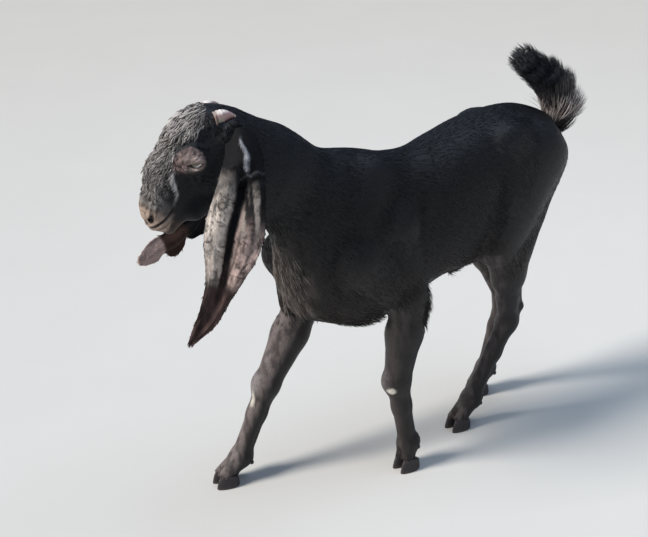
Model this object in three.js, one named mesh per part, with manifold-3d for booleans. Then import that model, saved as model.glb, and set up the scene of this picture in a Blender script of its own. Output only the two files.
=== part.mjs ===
// A young long-eared, Roman-nosed buck goat, caught in mid walk, as a still life-size model.
// Millimetres, +Z up. The goat faces -Y and its left side is +X; the floor is z = 0.
//
// The body is one smooth distance field: tapered limbs and muscles blended into each other.
// Each named piece is the surface of that field, meshed at its own fineness, and parted from
// its neighbours by thin cuts. Ears, horns, eyes and claws are made as pieces of their own.
import * as THREE from "three";
import Module from "manifold-3d";

const wasm = await Module();
wasm.setup();

// ---------------------------------------------------------------- driving dimensions

const GAP = 0.3; // clear space between two neighbouring pieces
const GRAIN = 0.01; // corners nearer than this become one
const POLL = [0, -307, 773]; // top of the neck, where the head hangs
const HEAD_PITCH = 46.9; // degrees that the face points below level
const EYE_RADIUS = 13.5;
const HORN_LENGTH = 40;
const EAR_THICKNESS = 5;
const FOLD_WIDTH = 13; // half the width of the channel down the middle of an ear
const CLAW_LENGTH = 54;
const CLAW_WIDTH = 22;
const CORONET_HEIGHT = 26; // where hair gives way to the claws, above the floor
const CORONET_SLOPE = 18; // degrees that this line drops towards the heel

// Joint centres of each leg, from the body down to the middle of the foot on the floor.
const LEGS = {
  fore_left: {
    shoulder: [70, -90, 458],
    elbow: [76, 4, 364],
    knee: [72, -20, 202],
    fetlock: [72, 6, 56],
    foot: [74, 0, 0],
    turn: 4,
  },
  fore_right: {
    shoulder: [-72, -172, 458],
    elbow: [-76, -128, 346],
    knee: [-74, -220, 192],
    fetlock: [-78, -282, 50],
    foot: [-79, -314, 0],
    turn: -6,
  },
  hind_left: {
    hip: [56, 318, 565],
    stifle: [70, 222, 408],
    hock: [36, 282, 226],
    heel: [36, 314, 250],
    fetlock: [20, 206, 62],
    foot: [16, 175, 0],
    turn: 2,
  },
  hind_right: {
    hip: [-56, 322, 565],
    stifle: [-70, 258, 404],
    hock: [-54, 350, 226],
    heel: [-54, 380, 252],
    fetlock: [-68, 318, 58],
    foot: [-72, 298, 0],
    turn: -6,
  },
};

// Trunk sections: place along the body, top, bottom, half width, and how much the top narrows.
const TRUNK = [
  [-205, 565, 430, 42, 0.1],
  [-150, 625, 348, 62, 0.15],
  [-80, 650, 317, 76, 0.22],
  [0, 636, 327, 86, 0.18],
  [60, 632, 352, 91, 0.1],
  [110, 644, 366, 93, 0.05],
  [175, 662, 368, 90, 0.0],
  [246, 672, 378, 82, -0.08],
  [318, 668, 436, 72, -0.12],
  [374, 646, 488, 54, -0.1],
  [408, 616, 545, 34, 0],
];

// ---------------------------------------------------------------- small vector helpers

const add = (a, b, scale = 1) => a.map((value, i) => value + scale * b[i]);
const mix = (a, b, t) => a.map((value, i) => value + t * (b[i] - value));
const clamp = (value, low, high) => Math.min(Math.max(value, low), high);
const radians = (degrees) => (degrees * Math.PI) / 180;

// A point of the head: sideways, along the face from the poll, and up out of the face.
function head(side, along, up) {
  const c = Math.cos(radians(HEAD_PITCH));
  const s = Math.sin(radians(HEAD_PITCH));
  return [side, POLL[1] - c * along - s * up, POLL[2] - s * along + c * up];
}

// A smooth reading of a table of rows [place, ...values] at any place.
function readRows(rows, place) {
  const last = rows.length - 1;
  const at = clamp(place, rows[0][0], rows[last][0]);
  let i = 0;
  while (i < last - 1 && at > rows[i + 1][0]) i += 1;
  const [before, from, to, after] = [
    rows[Math.max(i - 1, 0)],
    rows[i],
    rows[i + 1],
    rows[Math.min(i + 2, last)],
  ];
  const span = to[0] - from[0];
  const t = (at - from[0]) / span;
  return from.slice(1).map((value, k) => {
    const next = to[k + 1];
    const slopeHere = (next - before[k + 1]) / (to[0] - before[0]);
    const slopeNext = (after[k + 1] - value) / (after[0] - from[0]);
    const bend = (1 - t) * (1 - t) * t * span * slopeHere - (1 - t) * t * t * span * slopeNext;
    return value * (1 + 2 * t) * (1 - t) * (1 - t) + next * t * t * (3 - 2 * t) + bend;
  });
}

// ---------------------------------------------------------------- distance shapes

// A tapered limb from a to b with radii ra and rb, squeezed sideways by the factor wide.
function limb(a, b, ra, rb, wide = 1) {
  const d = [(b[0] - a[0]) / wide, b[1] - a[1], b[2] - a[2]];
  const length2 = d[0] * d[0] + d[1] * d[1] + d[2] * d[2];
  return (x, y, z) => {
    const px = (x - a[0]) / wide;
    const py = y - a[1];
    const pz = z - a[2];
    const t = clamp((px * d[0] + py * d[1] + pz * d[2]) / length2, 0, 1);
    const away = Math.hypot(px - t * d[0], py - t * d[1], pz - t * d[2]);
    return away - (ra + (rb - ra) * t);
  };
}

// A muscle or other rounded mass: an ellipsoid nose-down by pitch degrees.
function mass(centre, radii, pitch = 0) {
  const c = Math.cos(radians(pitch));
  const s = Math.sin(radians(pitch));
  return (x, y, z) => {
    const px = x - centre[0];
    const qy = y - centre[1];
    const qz = z - centre[2];
    const py = c * qy + s * qz;
    const pz = -s * qy + c * qz;
    const near = Math.hypot(px / radii[0], py / radii[1], pz / radii[2]);
    const steep = Math.hypot(px / radii[0] ** 2, py / radii[1] ** 2, pz / radii[2] ** 2);
    return steep < 1e-9 ? -Math.min(...radii) : (near * (near - 1)) / steep;
  };
}

// The barrel of the body, read from the trunk sections.
function barrel(x, y, z) {
  const ROUNDING = 30;
  const [top, bottom, half, narrow] = readRows(TRUNK, y);
  const up = z - (top + bottom) / 2;
  const away = Math.hypot(x, up) || 1e-6;
  const rise = up / away;
  const wide = half * (1 - narrow * rise);
  const n = 2.3;
  const reach = (Math.abs(x / away / wide) ** n + Math.abs((2 * rise) / (top - bottom)) ** n) ** (-1 / n);
  const inside = away - reach + ROUNDING;
  const past = Math.max(TRUNK[0][0] - y, y - TRUNK[TRUNK.length - 1][0]) + ROUNDING;
  return Math.min(Math.max(inside, past), 0) + Math.hypot(Math.max(inside, 0), Math.max(past, 0)) - ROUNDING;
}

// Two distances joined with a fillet of about the given width.
function blend(a, b, width) {
  const near = Math.max(width - Math.abs(a - b), 0) / width;
  return Math.min(a, b) - (near * near * width) / 4;
}

// ---------------------------------------------------------------- the body

const body = []; // pairs of a distance shape and the width of its blend
const place = (width, ...shapes) => shapes.forEach((shape) => body.push([shape, width]));

function makeTrunk() {
  place(1, barrel);
  place(40, mass([0, -182, 445], [50, 44, 78], 8)); // breast
  place(26, limb([0, -165, 378], [0, -30, 336], 30, 26, 1.3)); // brisket
  place(24, limb([0, 240, 388], [0, 165, 366], 15, 12)); // sheath
  place(8, limb([0, 165, 362], [0, 154, 352], 8, 5));
  place(16, mass([0, 322, 432], [26, 28, 36])); // scrotum
  for (const side of [-1, 1]) {
    place(30, mass([side * 60, 244, 640], [18, 28, 20])); // hip bone
    place(26, mass([side * 32, 404, 586], [18, 22, 26])); // pin bone
  }
}

function makeNeck() {
  place(60, limb([0, -120, 545], [0, -230, 640], 98, 78, 0.62));
  place(36, limb([0, -230, 640], [0, -322, 706], 76, 62, 0.72));
}

function makeHead() {
  place(24, mass(head(0, 56, 3), [46, 59, 53], HEAD_PITCH)); // skull
  place(16, limb(head(0, 92, 24), head(0, 150, 25), 40, 33, 0.92)); // arched nose
  place(14, limb(head(0, 150, 25), head(0, 200, 8), 33, 28, 0.86));
  place(10, limb(head(0, 200, 8), head(0, 214, -6), 27, 21, 1.05));
  place(14, limb(head(0, 120, -14), head(0, 205, -14), 36, 24, 0.86)); // upper jaw
  place(8, mass(head(0, 219, -16), [24, 15, 17], HEAD_PITCH)); // upper lip
  place(10, limb(head(0, 150, -42), head(0, 216, -36), 19, 14, 1.15)); // chin
  place(26, limb(head(0, 52, -44), head(0, 120, -56), 44, 32, 0.8)); // throat
  for (const side of [-1, 1]) {
    place(18, limb(head(side * 28, 96, -70), head(side * 17, 172, -54), 22, 16, 0.8)); // lower jaw
    place(16, mass(head(side * 37, 96, -26), [15, 40, 38], HEAD_PITCH)); // cheek
    place(12, mass(head(side * 36, 108, 20), [19, 27, 22], HEAD_PITCH)); // eye socket
    place(14, mass(head(side * 48, 34, -6), [17, 24, 22], HEAD_PITCH)); // root of the ear
    place(10, mass(head(side * 30, 36, 26), [16, 18, 16], HEAD_PITCH)); // root of the horn
  }
}

function makeForeLeg({ shoulder, elbow, knee, fetlock, foot }) {
  const side = Math.sign(foot[0]);
  const blade = [side * 36, -42 + 0.15 * (shoulder[1] + 90), 605];
  place(34, limb(blade, shoulder, 42, 42, 0.5));
  place(24, limb(shoulder, elbow, 44, 34, 0.62)); // upper arm
  place(26, limb(add(mix(blade, elbow, 0.45), [side * 8, 12, 0]), elbow, 56, 32, 0.5)); // triceps
  place(14, limb(elbow, mix(elbow, knee, 0.4), 41, 40, 0.76)); // forearm
  place(14, limb(mix(elbow, knee, 0.4), knee, 40, 28, 0.84));
  place(10, mass(add(knee, [0, -6, 2]), [26, 28, 30])); // knee pad
  place(12, limb(knee, mix(knee, fetlock, 0.4), 27, 21, 0.86)); // cannon
  place(12, limb(mix(knee, fetlock, 0.4), fetlock, 21, 21, 0.86));
  makeFoot(fetlock, foot);
}

function makeHindLeg({ hip, stifle, hock, heel, fetlock, foot }) {
  const side = Math.sign(hip[0]);
  const calf = add(mix(stifle, hock, 0.35), [0, 16, 0]);
  place(34, limb(hip, mix(hip, stifle, 0.75), 73, 56, 0.5)); // thigh
  place(28, limb([side * 58, 256, 606], stifle, 40, 34, 0.6)); // front of the thigh
  place(26, limb([side * 38, 366, 566], calf, 45, 34, 0.58)); // back of the thigh
  place(24, limb([side * 60, 196, 412], stifle, 14, 24, 0.5)); // fold of the flank
  place(16, limb(stifle, calf, 34, 40, 0.62));
  place(14, limb(calf, hock, 34, 22, 0.72));
  place(10, limb(mix(calf, heel, 0.4), heel, 20, 12, 0.7)); // tendon
  place(10, limb(heel, hock, 13, 20, 0.85));
  place(10, mass(hock, [21, 26, 30]));
  place(12, limb(hock, mix(hock, fetlock, 0.4), 24, 20, 0.85)); // cannon
  place(12, limb(mix(hock, fetlock, 0.4), fetlock, 20, 20, 0.88));
  makeFoot(fetlock, foot);
}

// The joint above the foot and the short slanting bone below it.
function makeFoot(fetlock, foot) {
  place(10, mass(add(fetlock, [0, 2, 0]), [22, 25, 24]));
  place(8, limb(fetlock, add(foot, [0, -2, CORONET_HEIGHT - 4]), 21, 21, 1));
}

const TAIL = [
  [410, 604, 25],
  [432, 636, 32],
  [434, 682, 38],
  [412, 720, 38],
  [364, 741, 30],
  [306, 749, 14],
];

function makeTail() {
  for (let i = 1; i < TAIL.length; i += 1) {
    const [y0, z0, r0] = TAIL[i - 1];
    const [y1, z1, r1] = TAIL[i];
    place(16, limb([0, y0, z0], [0, y1, z1], r0, r1, 0.95));
  }
}

makeTrunk();
makeNeck();
makeHead();
makeForeLeg(LEGS.fore_left);
makeForeLeg(LEGS.fore_right);
makeHindLeg(LEGS.hind_left);
makeHindLeg(LEGS.hind_right);
makeTail();

// Distance from the body's surface, below zero inside.
function bodyDistance(x, y, z) {
  let distance = 1e3;
  for (const [shape, width] of body) distance = blend(distance, shape(x, y, z), width);
  return distance;
}

// ---------------------------------------------------------------- from field to mesh

// The surface of the field inside a box of space, as a closed mesh with quads about one cell
// in size: one vertex in each cell that the surface crosses, evened out and moved onto it.
function netOf(field, low, high, cell) {
  const count = low.map((value, axis) => Math.ceil((high[axis] - value) / cell[axis]) + 1);
  const at = (i, j, k) => (i * count[1] + j) * count[2] + k;
  const value = new Float64Array(count[0] * count[1] * count[2]);
  const edge = (i, j, k) => [i, j, k].some((n, axis) => n === 0 || n === count[axis] - 1);
  for (let i = 0; i < count[0]; i += 1)
    for (let j = 0; j < count[1]; j += 1)
      for (let k = 0; k < count[2]; k += 1) {
        const d = field(low[0] + i * cell[0], low[1] + j * cell[1], low[2] + k * cell[2]);
        value[at(i, j, k)] = edge(i, j, k) ? Math.abs(d) + 1 : d || 1e-6;
      }
  const corners = [0, 1, 2, 3, 4, 5, 6, 7].map((n) => [n & 1, (n >> 1) & 1, (n >> 2) & 1]);
  const points = [];
  const fixed = [];
  const vertexOf = new Map();
  for (let i = 0; i < count[0] - 1; i += 1)
    for (let j = 0; j < count[1] - 1; j += 1)
      for (let k = 0; k < count[2] - 1; k += 1) {
        const around = corners.map(([a, b, c]) => value[at(i + a, j + b, k + c)]);
        const inside = around.filter((d) => d < 0).length;
        if (inside === 0 || inside === 8) continue;
        const sum = [0, 0, 0, 0];
        corners.forEach((p, m) =>
          corners.forEach((q, n) => {
            const apart = Math.abs(p[0] - q[0]) + Math.abs(p[1] - q[1]) + Math.abs(p[2] - q[2]);
            if (n <= m || apart !== 1 || around[m] < 0 === around[n] < 0) return;
            const t = around[m] / (around[m] - around[n]);
            for (let axis = 0; axis < 3; axis += 1) sum[axis] += p[axis] + t * (q[axis] - p[axis]);
            sum[3] += 1;
          }),
        );
        const start = [i, j, k].map((n, axis) => low[axis] + (n + sum[axis] / sum[3]) * cell[axis]);
        vertexOf.set(at(i, j, k), points.length);
        points.push(start);
        fixed.push([i, j, k].some((n, axis) => n === 0 || n === count[axis] - 2));
      }
  const faces = [];
  const beside = points.map(() => []);
  const quad = (a, b, c, d, flip) => {
    const [p, q, r, s] = [a, b, c, d].map((n) => vertexOf.get(n));
    for (const [m, n] of [[p, q], [q, r], [r, s], [s, p]]) beside[m].push(n) && beside[n].push(m);
    if (flip) faces.push(p, r, q, p, s, r);
    else faces.push(p, q, r, p, r, s);
  };
  for (let i = 0; i < count[0] - 1; i += 1)
    for (let j = 0; j < count[1] - 1; j += 1)
      for (let k = 0; k < count[2] - 1; k += 1) {
        const here = value[at(i, j, k)] < 0;
        const ends = [value[at(i + 1, j, k)] < 0, value[at(i, j + 1, k)] < 0, value[at(i, j, k + 1)] < 0];
        if (here !== ends[0]) quad(at(i, j, k), at(i, j - 1, k), at(i, j - 1, k - 1), at(i, j, k - 1), here);
        if (here !== ends[1]) quad(at(i, j, k), at(i, j, k - 1), at(i - 1, j, k - 1), at(i - 1, j, k), here);
        if (here !== ends[2]) quad(at(i, j, k), at(i - 1, j, k), at(i - 1, j - 1, k), at(i, j - 1, k), here);
      }
  let settled = points;
  for (let turn = 0; turn < 2; turn += 1)
    settled = settled.map((p, n) => {
      if (fixed[n]) return p;
      const even = beside[n].reduce((sum, m) => add(sum, settled[m], 1 / beside[n].length), [0, 0, 0]);
      return ontoSurface(field, mix(p, even, 0.6), 0.6 * Math.min(...cell));
    });
  return { points: settled.flat(), faces };
}

// A point moved along the field's slope onto its surface, by no more than the given step.
function ontoSurface(field, start, step) {
  const e = 0.5;
  let p = start;
  for (let turn = 0; turn < 3; turn += 1) {
    const d = field(...p);
    const slope = [
      (field(p[0] + e, p[1], p[2]) - field(p[0] - e, p[1], p[2])) / (2 * e),
      (field(p[0], p[1] + e, p[2]) - field(p[0], p[1] - e, p[2])) / (2 * e),
      (field(p[0], p[1], p[2] + e) - field(p[0], p[1], p[2] - e)) / (2 * e),
    ];
    p = add(p, slope, -d / Math.max(slope.reduce((sum, s) => sum + s * s, 0), 0.1));
  }
  return p.map((value, i) => clamp(value, start[i] - step, start[i] + step));
}

// A closed mesh through rings of points that all have the same number of points.
function loft(rings) {
  const size = rings[0].length;
  const points = rings.flat(2);
  const faces = [];
  for (let r = 0; r < rings.length - 1; r += 1)
    for (let i = 0; i < size; i += 1) {
      const j = (i + 1) % size;
      const [a, b, c, d] = [r * size + i, r * size + j, (r + 1) * size + j, (r + 1) * size + i];
      faces.push(a, b, c, a, c, d);
    }
  for (const [ring, turned] of [[0, true], [rings.length - 1, false]]) {
    const middle = rings[ring].reduce((sum, p) => add(sum, p, 1 / size), [0, 0, 0]);
    const centre = points.push(...middle) / 3 - 1;
    for (let i = 0; i < size; i += 1) {
      const [a, b] = [ring * size + i, ring * size + ((i + 1) % size)];
      faces.push(centre, ...(turned ? [b, a] : [a, b]));
    }
  }
  return { points, faces };
}

function solidOf({ points, faces }) {
  const made = new wasm.Manifold(
    new wasm.Mesh({
      numProp: 3,
      vertProperties: new Float32Array(points),
      triVerts: new Uint32Array(faces),
    }),
  );
  if (made.volume() > 0) return made;
  for (let i = 0; i < faces.length; i += 3) [faces[i], faces[i + 1]] = [faces[i + 1], faces[i]];
  return solidOf({ points, faces });
}

// The same mesh with corners closer than the grain merged, and without the faces and the
// pairs of faces back to back that this leaves flat.
function weld(array, order, grain) {
  const seen = new Map();
  const points = [];
  const corner = (n) => {
    const p = [0, 1, 2].map((axis) => Math.round(array[3 * n + axis] / grain));
    const key = p.join();
    if (!seen.has(key)) seen.set(key, points.push(...p.map((value) => value * grain)) / 3 - 1);
    return seen.get(key);
  };
  const kept = new Map();
  for (let i = 0; i < order.length; i += 3) {
    const face = [corner(order[i]), corner(order[i + 1]), corner(order[i + 2])];
    if (new Set(face).size < 3) continue;
    const key = [...face].sort((a, b) => a - b).join();
    if (kept.has(key)) kept.delete(key);
    else kept.set(key, face);
  }
  return { points, faces: [...kept.values()].flat() };
}

// Draws folds of one surface that touch each other apart, each towards its own neighbours.
function loosen(points, faces) {
  const beside = new Map();
  for (let i = 0; i < faces.length; i += 3) {
    const face = [faces[i], faces[i + 1], faces[i + 2]];
    for (const n of face) beside.set(n, [...(beside.get(n) || []), ...face.filter((m) => m !== n)]);
  }
  const place = (n) => [points[3 * n], points[3 * n + 1], points[3 * n + 2]];
  const spots = new Map();
  for (const n of beside.keys()) {
    const key = place(n).map((value) => Math.round(value / GRAIN)).join();
    spots.set(key, [...(spots.get(key) || []), n]);
  }
  const moved = [...points];
  for (const shared of spots.values())
    for (const n of shared) {
      if (shared.length < 2 || shared.some((m) => beside.get(n).includes(m))) continue;
      const ring = beside.get(n);
      const middle = ring.reduce((sum, m) => add(sum, place(m), 1 / ring.length), [0, 0, 0]);
      const way = unit(add(middle, place(n), -1));
      add(place(n), way, GAP).forEach((value, axis) => (moved[3 * n + axis] = value));
    }
  return moved;
}

// Whether each edge of a mesh has exactly two faces.
function isClean({ points, faces }) {
  const uses = new Map();
  for (let i = 0; i < faces.length; i += 3)
    for (const [a, b] of [[0, 1], [1, 2], [2, 0]]) {
      const ends = [faces[i + a], faces[i + b]];
      const key = Math.min(...ends) * points.length + Math.max(...ends);
      uses.set(key, (uses.get(key) || 0) + 1);
    }
  return [...uses.values()].every((count) => count === 2);
}

// A three.js geometry as a solid: only its places count, so shared corners are merged.
function solidFrom(geometry) {
  const { array } = geometry.attributes.position;
  const order = geometry.index ? geometry.index.array : [...Array(array.length / 3).keys()];
  return solidOf(weld(array, order, 1e-3));
}

// ---------------------------------------------------------------- cutters

// A right block whose one face is centred on a point and which reaches out along a direction
// in the YZ plane; grow widens it on every side.
function block(face, out, wide, tall, deep, grow) {
  const box = new THREE.BoxGeometry(wide + 2 * grow, deep + 2 * grow, tall + 2 * grow);
  box.translate(0, deep / 2, 0);
  box.rotateX(Math.atan2(out[1], out[0]));
  box.translate(...face);
  return solidFrom(box);
}

// A prism over an outline in the XZ plane (across true) or in the YZ plane (across false).
function prism(outline, from, to, across, grow) {
  const corners = outline.map(([a, b]) => new THREE.Vector2(a, b));
  const turn = Math.sign(THREE.ShapeUtils.area(corners));
  const outward = corners.map((here, i) => {
    const way = corners[(i + 1) % corners.length].clone().sub(here).normalize();
    return new THREE.Vector2(turn * way.y, -turn * way.x);
  });
  const shape = new THREE.Shape(
    corners.map((here, i) => {
      const [before, after] = [outward[(i + corners.length - 1) % corners.length], outward[i]];
      const miter = before.clone().add(after).divideScalar(1 + before.dot(after));
      return here.clone().addScaledVector(miter, grow);
    }),
  );
  const geometry = new THREE.ExtrudeGeometry(shape, { depth: to - from + 2 * grow, bevelEnabled: false });
  geometry.translate(0, 0, from - grow);
  geometry.rotateX(Math.PI / 2);
  if (across) geometry.scale(1, -1, 1);
  else geometry.rotateZ(Math.PI / 2);
  return solidFrom(geometry);
}

// The space each piece of the body takes, a little larger or smaller by grow.
const REGIONS = {
  head: (grow) => block([0, -304, 680], [-0.893, 0.449], 260, 290, 400, grow),
  neck: (grow) => block([0, -153, 566], [-0.818, 0.575], 300, 255, 600, grow),
  tail: (grow) =>
    prism([[560, 510], [560, 880], [270, 880], [270, 700], [371, 700], [457, 510]], -100, 100, false, grow),
  leg_fore_left: (grow) => prism([[42, -20], [170, -20], [170, 400], [42, 322]], -120, 125, true, grow),
  leg_fore_right: (grow) => prism([[-42, -20], [-170, -20], [-170, 400], [-42, 322]], -420, -40, true, grow),
  leg_hind_left: (grow) => prism([[60, -20], [470, -20], [470, 446], [150, 336]], -25, 160, false, grow),
  leg_hind_right: (grow) => prism([[60, -20], [470, -20], [470, 446], [150, 336]], -160, -25, false, grow),
};

// ---------------------------------------------------------------- ears, horns, eyes and claws

// Each ear hangs as a long leaf folded along its middle. A row holds the place along the ear,
// the point at the bottom of the fold, the reach of the front and back flaps, the depth of the
// fold, and how far the open side is turned from sideways (0) to forwards (90).
const EARS = {
  ear_left: [
    [0.0, 52, -312, 738, 20, 20, 13, 20],
    [0.12, 74, -320, 708, 26, 28, 15, 25],
    [0.3, 90, -342, 656, 38, 46, 14, 30],
    [0.48, 96, -368, 598, 36, 86, 13, 32],
    [0.62, 95, -380, 552, 24, 62, 12, 32],
    [0.78, 92, -398, 496, 18, 38, 10, 32],
    [0.9, 88, -424, 448, 16, 20, 7, 30],
    [1.0, 84, -446, 414, 3, 4, 3, 30],
  ],
  ear_right: [
    [0.0, -52, -312, 738, 20, 20, 13, 20],
    [0.14, -76, -316, 704, 26, 28, 15, 20],
    [0.34, -92, -322, 642, 38, 40, 14, 20],
    [0.55, -96, -340, 572, 34, 50, 13, 25],
    [0.75, -94, -378, 518, 22, 40, 12, 30],
    [0.9, -91, -422, 500, 26, 24, 8, 30],
    [1.0, -89, -456, 500, 10, 8, 3, 30],
  ],
};

const unit = (a) => a.map((value) => value / Math.hypot(...a));
const cross = (a, b) => [a[1] * b[2] - a[2] * b[1], a[2] * b[0] - a[0] * b[2], a[0] * b[1] - a[1] * b[0]];
const dot = (a, b) => a[0] * b[0] + a[1] * b[1] + a[2] * b[2];

// A point on the ear's middle surface: t runs from root to tip, s from front to back edge.
function earPoint(rows, t, s) {
  const side = Math.sign(rows[0][1]);
  const [x, y, z, front, back, fold, turn] = readRows(rows, t);
  const ahead = readRows(rows, Math.min(t + 0.01, 1)).slice(0, 3);
  const behind = readRows(rows, Math.max(t - 0.01, 0)).slice(0, 3);
  const along = unit(add(ahead, behind, -1));
  const facing = [side * Math.cos(radians(turn)), -Math.sin(radians(turn)), 0];
  const out = unit(add(facing, along, -dot(facing, along)));
  const forward = cross(along, out).map((value) => value * side);
  const reach = s < 0 ? -s * front : -s * back;
  const lift = fold * (1 - 1.6 * Math.exp(-((reach / FOLD_WIDTH) ** 2))) * (1 - 0.45 * s * s);
  return add(add([x, y, z], forward, reach), out, lift);
}

function makeEar(rows, grow) {
  const STEPS = 11;
  const ACROSS = 7;
  const rings = [];
  const rootward = unit(add(earPoint(rows, 0, 0), earPoint(rows, 0.05, 0), -1));
  for (let r = 0; r <= STEPS; r += 1) {
    const t = r / STEPS;
    const ring = [[], []];
    for (let i = 0; i <= ACROSS; i += 1) {
      const s = (2 * i) / ACROSS - 1;
      const acrossWay = add(earPoint(rows, t, Math.min(s + 0.02, 1)), earPoint(rows, t, Math.max(s - 0.02, -1)), -1);
      const downWay = add(earPoint(rows, Math.min(t + 0.02, 1), s), earPoint(rows, Math.max(t - 0.02, 0), s), -1);
      const normal = unit(cross(acrossWay, downWay));
      const rim = add([0, 0, 0], unit(acrossWay), s * s === 1 ? s * grow : 0);
      const point = add(add(earPoint(rows, t, s), rim), rootward, r === 0 ? grow : 0);
      const half = (EAR_THICKNESS / 2) * (1 - 0.4 * s ** 4) + grow;
      ring[0].push(add(point, normal, half));
      ring[1].unshift(add(point, normal, -half));
    }
    rings.push(ring.flat());
  }
  return solidOf(loft(rings));
}

// A short horn, flattened and swept back, from its root on the skull to a blunt tip.
function makeHorn(side, grow) {
  const root = head(side * 31, 38, 20);
  const tip = add(head(side * 46, 8, 3), [0, 0, 4]);
  const rings = [];
  const forward = unit(add(tip, root, -1));
  const out = unit(cross(forward, [0, 0, 1]));
  const up = cross(out, forward);
  for (let r = 0; r <= 5; r += 1) {
    const t = r / 5;
    const thick = 15 * Math.sqrt(1 - 0.94 * t ** 1.6) + grow;
    const reach = HORN_LENGTH * (t - 0.12) - (r === 0 ? grow : 0);
    const centre = add(add(root, forward, reach), up, 5 * Math.sin(Math.PI * t));
    const ring = [];
    for (let i = 0; i < 9; i += 1) {
      const a = (2 * Math.PI * i) / 9;
      ring.push(add(add(centre, out, 0.68 * thick * Math.cos(a)), up, thick * Math.sin(a)));
    }
    rings.push(ring);
  }
  return solidOf(loft(rings));
}

function makeEye(side, grow) {
  const ball = new THREE.SphereGeometry(EYE_RADIUS + grow, 12, 8);
  ball.translate(...head(side * 42, 108, 14));
  return solidFrom(ball);
}

// A point in a foot's own frame: sideways, forwards and up from the middle of the sole.
function footPoint({ foot, turn }, side, forward, up) {
  const c = Math.cos(radians(turn));
  const s = Math.sin(radians(turn));
  return [foot[0] + c * side + s * forward, foot[1] - c * forward + s * side, up];
}

// One claw: flat sole, sloping toe wall, and a top that follows the coronet.
function makeClaw(leg, side) {
  const levels = [
    [0, 0.95, 0],
    [0.6, 0.94, -5],
    [1, 0.84, -9],
  ];
  const rings = levels.map(([height, size, back]) => {
    const ring = [];
    for (let i = 0; i < 12; i += 1) {
      const a = (2 * Math.PI * i) / 12;
      const taper = 1 - 0.32 * Math.cos(a);
      const forward = (size * CLAW_LENGTH * Math.cos(a)) / 2 + back * (1 + 0.6 * Math.cos(a));
      const across = ((size * CLAW_WIDTH) / 2) * Math.sin(a) * taper;
      const top = CORONET_HEIGHT + (forward + 4) * Math.tan(radians(CORONET_SLOPE)) - GAP / 2;
      ring.push(footPoint(leg, side * (CLAW_WIDTH / 2 + 1) + across, forward, height * top));
    }
    return ring;
  });
  return solidOf(loft(rings));
}

// The space below a foot's coronet, which the claws take.
function belowCoronet({ foot, turn }) {
  const box = new THREE.BoxGeometry(90, 110, 60);
  box.translate(0, 0, -30);
  box.rotateX(radians(-CORONET_SLOPE));
  box.rotateZ(radians(turn));
  box.translate(foot[0], foot[1] + 4, CORONET_HEIGHT + GAP / 2);
  return solidFrom(box);
}

// One of the two small claws behind the fetlock.
function makeDewclaw({ fetlock, turn }, side, grow) {
  const ball = new THREE.SphereGeometry(1, 8, 5);
  ball.scale(6.5 + grow, 6 + grow, 9 + grow);
  ball.rotateX(radians(25));
  ball.translate(side * 11, 23, -12);
  ball.rotateZ(radians(turn));
  ball.translate(...fetlock);
  return solidFrom(ball);
}

// ---------------------------------------------------------------- pieces

const coat = new THREE.MeshStandardMaterial({ color: 0x16161a, roughness: 0.5, metalness: 0 });
const earSkin = new THREE.MeshStandardMaterial({ color: 0x4a403c, roughness: 0.6, metalness: 0 });
const hornMatter = new THREE.MeshStandardMaterial({ color: 0xc9a893, roughness: 0.5, metalness: 0 });
const eyeMatter = new THREE.MeshStandardMaterial({ color: 0xb59a76, roughness: 0.1, metalness: 0 });
const clawMatter = new THREE.MeshStandardMaterial({ color: 0x2c2628, roughness: 0.55, metalness: 0 });

const goat = new THREE.Group();

function show(name, solid, material) {
  const bodies = solid.decompose().sort((a, b) => b.volume() - a.volume());
  const { vertProperties, triVerts } = bodies[0].getMesh();
  const { points, faces } = weld(loosen(vertProperties, triVerts), triVerts, GRAIN);
  if (!isClean({ points, faces })) throw new Error(`${name} is pinched`);
  const geometry = new THREE.BufferGeometry();
  geometry.setAttribute("position", new THREE.Float32BufferAttribute(points, 3));
  geometry.setIndex(faces);
  geometry.computeVertexNormals();
  const mesh = new THREE.Mesh(geometry, material);
  mesh.name = name;
  goat.add(mesh);
  return solidOf({ points, faces });
}

// The body's surface inside a box of space, as a solid.
const bodySolid = (low, high, cell) => solidOf(netOf(bodyDistance, low, high, cell));

const sides = [["left", 1], ["right", -1]];
let headSolid = bodySolid([-87, -500, 540], [87, -225, 830], [15.5, 15.5, 15.5]).intersect(REGIONS.head(-GAP / 2));
for (const [name, side] of sides) {
  show(`eye_${name}`, makeEye(side, 0), eyeMatter);
  show(`horn_${name}`, makeHorn(side, 0), hornMatter);
  headSolid = headSolid.subtract(makeEye(side, GAP)).subtract(makeHorn(side, GAP));
  headSolid = headSolid.subtract(makeEar(EARS[`ear_${name}`], 3 * GAP));
}
headSolid = show("head", headSolid, coat);
for (const [name] of sides) show(`ear_${name}`, makeEar(EARS[`ear_${name}`], 0).subtract(headSolid), earSkin);

show(
  "neck",
  bodySolid([-120, -400, 420], [120, -40, 830], [20, 26, 26])
    .intersect(REGIONS.neck(-GAP / 2))
    .subtract(REGIONS.head(GAP / 2)),
  coat,
);
show("tail", bodySolid([-80, 270, 520], [80, 560, 850], [20, 20, 20]).intersect(REGIONS.tail(-GAP / 2)), coat);

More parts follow.
